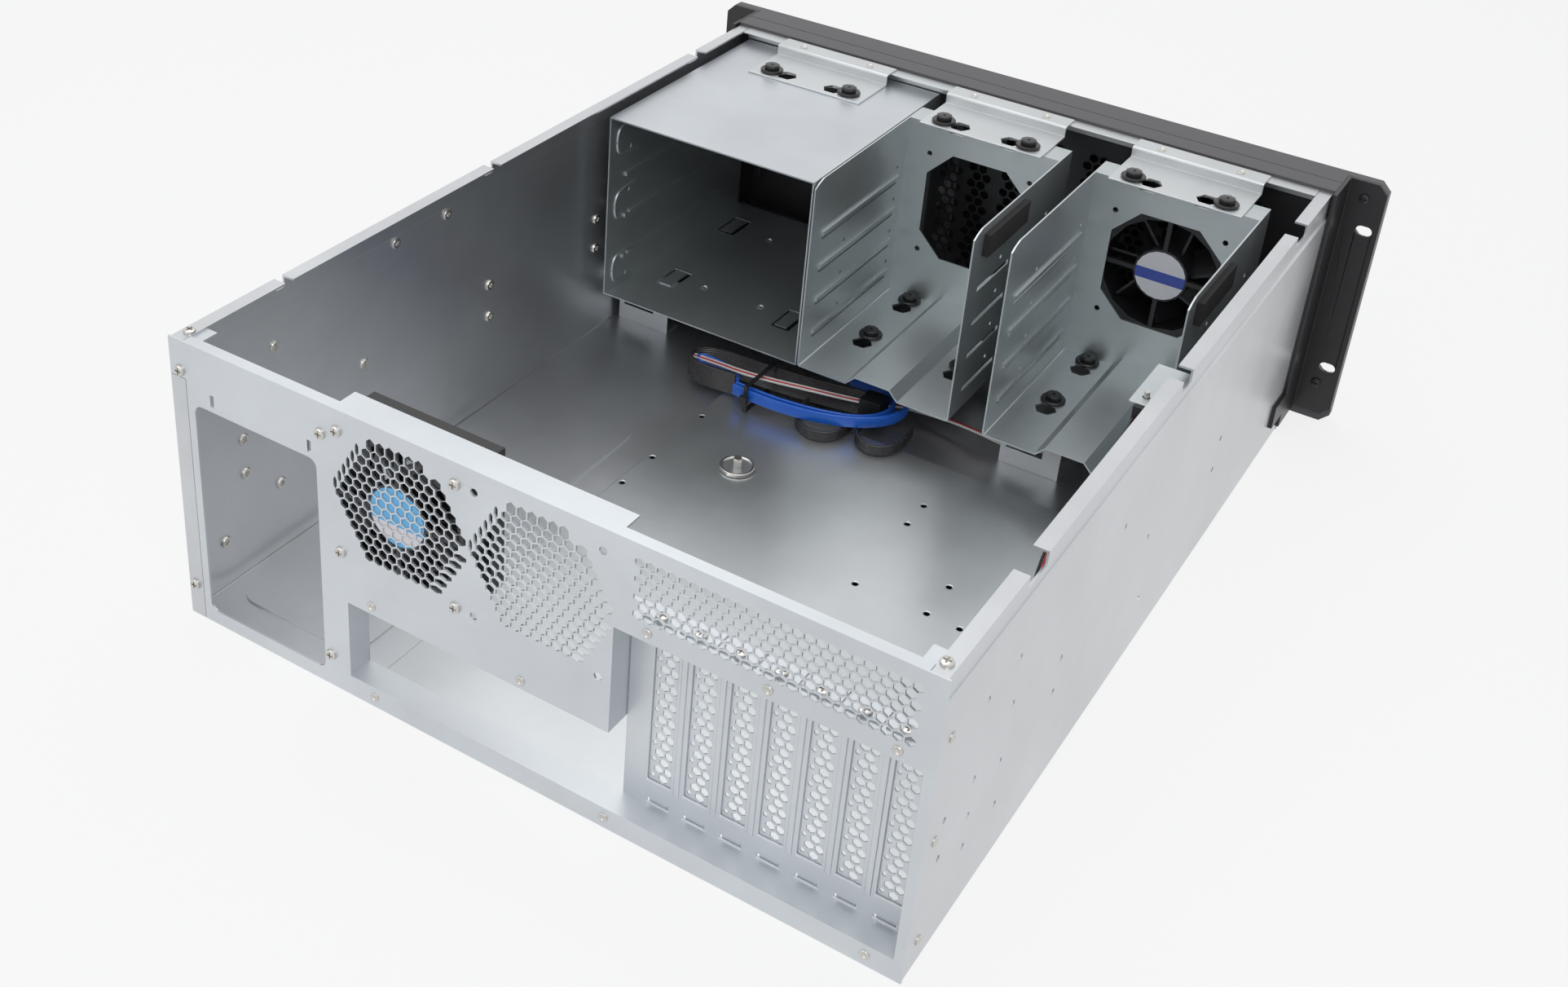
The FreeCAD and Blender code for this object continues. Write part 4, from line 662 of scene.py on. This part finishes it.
def pan_head(place, direction):
    """A pan head with a cross recess."""
    radius, height = HEAD_RADIUS, HEAD_HEIGHT
    outline = [(0, 0), (radius, 0), (radius, height * 0.45), (radius * 0.93, height * 0.75),
               (radius * 0.72, height * 0.95), (radius * 0.4, height), (0, height)]
    head = turned("head", outline, (0, 0, 0), UPWARD)
    arm, slot_half = radius * 0.62, radius * 0.13
    for x, y in ((arm, slot_half), (slot_half, arm)):
        carve(head, block("cross", (-x, -y, height * 0.35), (x, y, height * 1.2)))
    stand(head, place, direction)
    return head


def rivet(place, direction):
    """A flush rivet: a low ring round a dimple."""
    radius = RIVET_RADIUS
    outline = [(0, 0.0002), (radius * 0.35, 0.0002), (radius * 0.5, 0.0006), (radius * 0.85, 0.0008),
               (radius, 0.0004), (radius, 0), (0, 0)]
    return turned("rivet", outline, place, direction)


POWER_SUPPLY_SCREWS = ((0.0068, 0.1563), (0.0995, 0.1563), (0.0045, 0.0205), (0.1005, 0.0205))
fan_across, fan_up = FAN_PLACES[0]
heads = [pan_head(at(across, 0, up), REARWARD) for across, up in POWER_SUPPLY_SCREWS]
heads += [pan_head(at(fan_across + i * FAN_HALF, 0, fan_up + j * FAN_HALF), REARWARD)
          for i in (-1, 1) for j in (-1, 1)]
heads += [pan_head(at(SLOT_FIRST + k * SLOT_PITCH, 0.0085, 0.1319), UPWARD) for k in range(SLOTS)]
heads += [pan_head(at(across, 0.009, 0.174), UPWARD) for across in (0.006, 0.424)]
fit(joined(heads, "pan_head_screws"), fastener_steel, instead_of=["screws"])

ear_heads = [pan_head((side * 0.228, REAR - 0.578, up), REARWARD)
             for side in (-1, 1) for up in (0.0285, 0.1645)]
fit(joined(ear_heads, "ear_screw_heads"), black_paint, instead_of=["ear_screws"])

PANEL_RIVETS = ((0.1286, 0.0063), (0.2703, 0.0063), (0.4112, 0.0063), (0.2886, 0.1278),
                (0.3505, 0.1278), (0.4123, 0.1278), (0.1283, 0.065), (0.2202, 0.065))
BRACKET_LEFTS = (0.042, 0.173, 0.3044)
INNER_WALL = LEFT - 0.0012
NUT_OUTLINE = [(0, 0.0003), (0.0014, 0.0003), (0.0017, 0.0014), (0.0030, 0.0014),
               (0.0035, 0.0006), (0.0036, 0)]
WALL_NUTS = ((0.071, 0.134), (0.141, 0.0885), (0.171, 0.155), (0.217, 0.155),
             (0.258, 0.089), (0.258, 0.0665), (0.374, 0.0885), (0.374, 0.0665),
             (0.044, 0.0885), (0.044, 0.0665), (0.070, 0.0455), (0.026, 0.031))
DISH_RIM = [(0.0086, 0), (0.0092, 0.0007), (0.0101, 0.0009), (0.0110, 0.0006), (0.0116, -0.001)]

flush = [rivet(at(across, 0, up), REARWARD) for across, up in PANEL_RIVETS]
flush += [rivet((side * 0.215, REAR - 0.013, up), (side, 0, 0))
          for side in (-1, 1) for up in (0.135, 0.076, 0.016)]
flush += [rivet(at(left + inset, 0.541, 0.1752), UPWARD)
          for left in BRACKET_LEFTS for inset in (0.017, 0.069)]
flush += [turned("clinch_nut", NUT_OUTLINE, (INNER_WALL, REAR - back, up), (-1, 0, 0))
          for back, up in WALL_NUTS]
tray_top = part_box("tray_standoff")[0].z
flush.append(turned("dish_rim", DISH_RIM, at(0.172, 0.2863, tray_top), UPWARD))
fit(joined(flush, "flush_rivets"), fastener_steel, instead_of=["rivets"])


# --- drive cages --------------------------------------------------------------------
# Folded cages behind the bays, with drive rails pressed out of their walls and
# rubber grommets in keyholes; the wide cage's top faces are painted lighter, a
# painted sheen where the lamps catch them.

def bored(piece, places, direction, radius=0.0013, depth=0.006):
    """Round holes through a sheet."""
    drills = []
    for place in places:
        bpy.ops.object.select_all(action="DESELECT")
        bpy.ops.mesh.primitive_cylinder_add(vertices=12, radius=radius, depth=depth)
        drills.append(bpy.context.object)
        stand(bpy.context.object, place, direction)
    return carve(piece, joined(drills, "drills"))


BAY_RAILS = (0.0505, 0.0985, 0.1465)
RIDGE_ACROSS, RIDGE_BACK = 0.0126, 0.379
RIDGE_BEND = ((0.024, 0.0115), (0.008, 0.0115), (0, 0.007), (0, -0.007), (0.008, -0.0115), (0.024, -0.0115))
LIP_OUTLINE = [(0.0016, 0.0008), (0.002, 0.0016), (0.0026, 0.0014), (0.0036, 0.0008)]
KEYHOLE_BACK, KEYHOLE_HALF, KEYHOLE_RADIUS = 0.504, 0.018, 0.0071
cage_floor, cage_top = (corner.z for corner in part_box("drive_cage_525"))

bay_cage = merged_copy("drive_cage_525", "wide_bay_cage")
pressed = []
for up in BAY_RAILS:
    bend = [(RIDGE_ACROSS, RIDGE_BACK + back, up + lift) for back, lift in RIDGE_BEND]
    curl = drawn_out("ridge", bend, [ring(0.001)])[0]
    only(curl)
    bpy.ops.object.shade_smooth_by_angle(angle=math.radians(60))
    pressed.append(curl)
for left, back in ((0.024, 0.498), (0.032, 0.404), (0.124, 0.404)):
    pressed.append(block("tongue", at(left + 0.0015, back + 0.0035, cage_floor - 0.0002),
                         at(left + 0.0105, back + 0.026, cage_floor + 0.0008)))
for across, back in ((0.063, 0.5075), (0.063, 0.4195), (0.107, 0.4205), (0.107, 0.508)):
    pressed.append(turned("lip", LIP_OUTLINE, at(across, back, cage_floor), UPWARD))
bored(bay_cage, [at(0.012, RIDGE_BACK + 0.016, up + lift) for up in BAY_RAILS for lift in (-0.008, 0.008)],
      (1, 0, 0), 0.0016)
bored(bay_cage, [at(0.085 + side * KEYHOLE_HALF, KEYHOLE_BACK, cage_top) for side in (-1, 1)],
      UPWARD, KEYHOLE_RADIUS)
bay_cage = joined([bay_cage] + pressed, "wide_bay_cage")
soften(bay_cage, 0.0003)
fit(bay_cage, [zinc_cage, sheen_painted_top], instead_of=["drive_cage_525"])
# Faces at the top of the wide cage take the lighter copy, a painted sheen.
for polygon in bay_cage.data.polygons:
    polygon.material_index = int(polygon.center.z > cage_top - 0.0002)

# Each drive rail is lanced out of its wall, which leaves a slit under the rail
# and a row of screw holes above it.
NARROW_CAGES = (("hdd_cage_mid", 0.1633), ("hdd_cage_right", 0.2937))
NARROW_WIDTH = 0.1074
RAIL_START, RAIL_END = 0.3862, 0.4885
for node, left in NARROW_CAGES:
    cage = merged_copy(node, node.replace("hdd", "narrow"))
    right = left + NARROW_WIDTH
    slits, holes = [], []
    for row in range(4):
        up = cage_floor + 0.018 + row * (cage_top - cage_floor - 0.036) / 4
        for near, far, start, end, drop in ((left - 0.002, left + 0.0045, RAIL_START, RAIL_END, 0.0032),
                                            (right - 0.0045, right + 0.002, RAIL_START, 0.432, 0.0034),
                                            (right - 0.0045, right + 0.002, 0.440, RAIL_END, 0.0034)):
            slits.append(block("slit", at(near, start, up - drop), at(far, end, up - 0.0001)))
        holes += [at(wall, back, up + lift)
                  for wall in (left, right) for back, lift in ((0.418, 0.0075), (0.488, 0.009))]
    carve(cage, joined(slits, "slits"))
    bored(cage, holes, (1, 0, 0))
    bored(cage, [at(left + 0.0528 + side * KEYHOLE_HALF, KEYHOLE_BACK, cage_top) for side in (-1, 1)],
          UPWARD, KEYHOLE_RADIUS)
    soften(cage, 0.0003)
    fit(cage, zinc_cage, instead_of=[node])


FLANGE_OUTLINE = [(0, -0.001), (0.0034, -0.001), (0.0034, 0), (0.0074, 0), (0.0079, 0.0005),
                  (0.0079, 0.0014), (0.0072, 0.0021), (0, 0.0023)]


def grommet(place):
    """A rubber grommet: a wide round flange and an eight-sided crown with a hole."""
    flange = turned("flange", FLANGE_OUTLINE, place, UPWARD)
    bpy.ops.object.select_all(action="DESELECT")
    bpy.ops.mesh.primitive_cylinder_add(vertices=8, radius=0.0053, depth=0.0030,
                                        location=Vector(place) + Vector((0, 0, 0.0034)))
    crown = bpy.context.object
    bpy.ops.object.transform_apply()
    only(crown)
    soften(crown, 0.0006, 3)
    bpy.ops.object.modifier_apply(modifier="edge")
    hole = turned("hole", [(0, 0.002), (0.0009, 0.002), (0.0009, 0.006), (0, 0.006)], place, UPWARD)
    carve(crown, hole)
    only(crown)
    bpy.ops.object.shade_smooth_by_angle(angle=math.radians(35))
    return [flange, crown]


rubber = satin("black_rubber", (0.016, 0.016, 0.017), 0.27)
rings = []
for left in BRACKET_LEFTS:
    for side in (-1, 1):
        rings += grommet(at(left + 0.043 + side * 0.030, KEYHOLE_BACK, 0.1682))
for _, left in NARROW_CAGES:
    for across in (left + 0.0207, left + 0.0867):
        for back in (0.4918, 0.434):
            rings += grommet(at(across, back, 0.037))
fit(joined(rings, "rubber_isolators"), rubber, instead_of=["rubber_grommets"])


# --- black front ---------------------------------------------------------------------
# The front plate and ears are painted black, and the bezel, its covers and
# buttons are moulded in charcoal plastic with a fine spark texture.

charcoal = satin("charcoal_moulding", (0.085, 0.08, 0.088), 0.42)
ear_black = satin("ear_paint", (0.012, 0.012, 0.014), 0.36)
bezel = merged_copy("front_bezel", "bezel_moulding")
carve(bezel, block("groove", (-0.2145, REAR - 0.5665, 0.1756), (0.2145, REAR - 0.5657, 0.177)))
soften(bezel, 0.0005)
fit(bezel, charcoal, instead_of=["front_bezel"])
dress(["bay_cover_1", "bay_cover_2", "bay_cover_3", "power_button", "reset_button"], charcoal, 0.0004)
dress(["left_rack_ear", "right_rack_ear"], ear_black, 0.0004)

FRONT_MIDDLE = 0.5504
FRONT_PITCH, FRONT_STEP, FRONT_CELL = 0.0072, 0.0062, 0.0058
front = merged_copy("front_plate", "front_wall")
for _, left in NARROW_CAGES:
    filler = block("filler", at(left + 0.010, 0.5498, 0.044), at(left + 0.0974, 0.551, 0.160))
    carve(front, filler, "UNION")
cells = []
for across in (0.183, 0.204, 0.228, 0.252, 0.283, 0.316, 0.340, 0.364, 0.386):
    for row in range(19):
        start = at(across, FRONT_MIDDLE, 0.040 + row * FRONT_STEP)
        cells.append(hexagon_row(start.x + row % 2 * FRONT_PITCH / 2, REAR - FRONT_MIDDLE, start.z,
                                 FRONT_CELL, FRONT_CELL, 2, FRONT_PITCH))
carve(front, joined(cells, "front_cells"))
fit(front, black_paint, instead_of=["front_plate"])

# A thin black foam filter lies behind the bezel's grill.
dust_filter = block("dust_filter", at(0.170, 0.5815, 0.034), at(0.398, 0.5842, 0.156))
fit(dust_filter, satin("filter_foam", (0.012, 0.012, 0.012), 0.85))


# --- fans -------------------------------------------------------------------------------
# Square moulded fans with a motor hub on four arms, screwed on at their corners.
# Each hub carries a plain round paper label with one coloured band.

fan_moulding = satin("fan_moulding", (0.014, 0.014, 0.016), 0.33)
dress(["front_fan_frame", "rear_fan_impeller", "front_fan_impeller"], fan_moulding, 0.0004)
rear_frame = merged_copy("rear_fan_frame", "rear_fan_housing")
collar = block("collar", at(0.1055, 0.0258, 0.086), at(0.1855, 0.0325, 0.166))
bored(collar, [at(0.1455, 0.029, 0.126)], REARWARD, 0.0372, 0.02)
rear_frame = joined([rear_frame, collar], "rear_fan_housing")
soften(rear_frame, 0.0008, 3)
fit(rear_frame, fan_moulding, instead_of=["rear_fan_frame"])


def label_paper(name, paper, band, height, half):
    """A round paper label with one coloured band across it."""
    material, shader = new_material(name)
    nodes, links = material.node_tree.nodes, material.node_tree.links
    place = nodes.new("ShaderNodeTexCoord")
    split = nodes.new("ShaderNodeSeparateXYZ")
    links.new(place.outputs["Object"], split.inputs[0])
    away = nodes.new("ShaderNodeMath")
    away.operation = "SUBTRACT"
    away.inputs[1].default_value = height
    links.new(split.outputs["Z"], away.inputs[0])
    size = nodes.new("ShaderNodeMath")
    size.operation = "ABSOLUTE"
    links.new(away.outputs[0], size.inputs[0])
    inside = nodes.new("ShaderNodeMath")
    inside.operation = "LESS_THAN"
    inside.inputs[1].default_value = half
    links.new(size.outputs[0], inside.inputs[0])
    pick = nodes.new("ShaderNodeMix")
    pick.data_type = "RGBA"
    pick.inputs["A"].default_value = (*paper, 1)
    pick.inputs["B"].default_value = (*band, 1)
    links.new(inside.outputs[0], pick.inputs["Factor"])
    links.new(pick.outputs["Result"], shader.inputs["Base Color"])
    shader.inputs["Roughness"].default_value = 0.35
    return material


LABEL_RADIUS, LABEL_TOP = 0.0165, 0.0003


def fan_label(end, paper, band, drop, half, lift):
    """The round label on a fan's hub, with its band so far below the middle."""
    low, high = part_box(f"{end}_fan_frame")
    hub = Vector(((low.x + high.x) / 2, high.y, (low.z + high.z) / 2))
    outline = [(0, lift), (LABEL_RADIUS, lift), (LABEL_RADIUS, LABEL_TOP), (0, LABEL_TOP)]
    label = turned(f"{end}_fan_label", outline, hub, REARWARD)
    fit(label, label_paper(f"{end}_label", paper, band, hub.z - drop, half))


fan_label("front", (0.72, 0.72, 0.76), (0.05, 0.09, 0.42), 0.001, 0.0038, 0.0001)
fan_label("rear", (0.16, 0.52, 0.88), (0.85, 0.80, 0.83), 0.009, 0.004, 0)


# --- pads, switch, board -------------------------------------------------------------
# Small parts: dark foam strips on the cages, the lid switch and its lead's
# housing, and the green button board behind the bezel.

dress(["mid_foam_pad", "right_foam_pad"], satin("black_foam", (0.022, 0.02, 0.02), 0.85), 0.0005)
dress(["switch_body", "cable_plug", "cable_tie"], black_vinyl, 0.0002)
dress(["front_board"], satin("board_resist", (0.006, 0.03, 0.016)), 0)
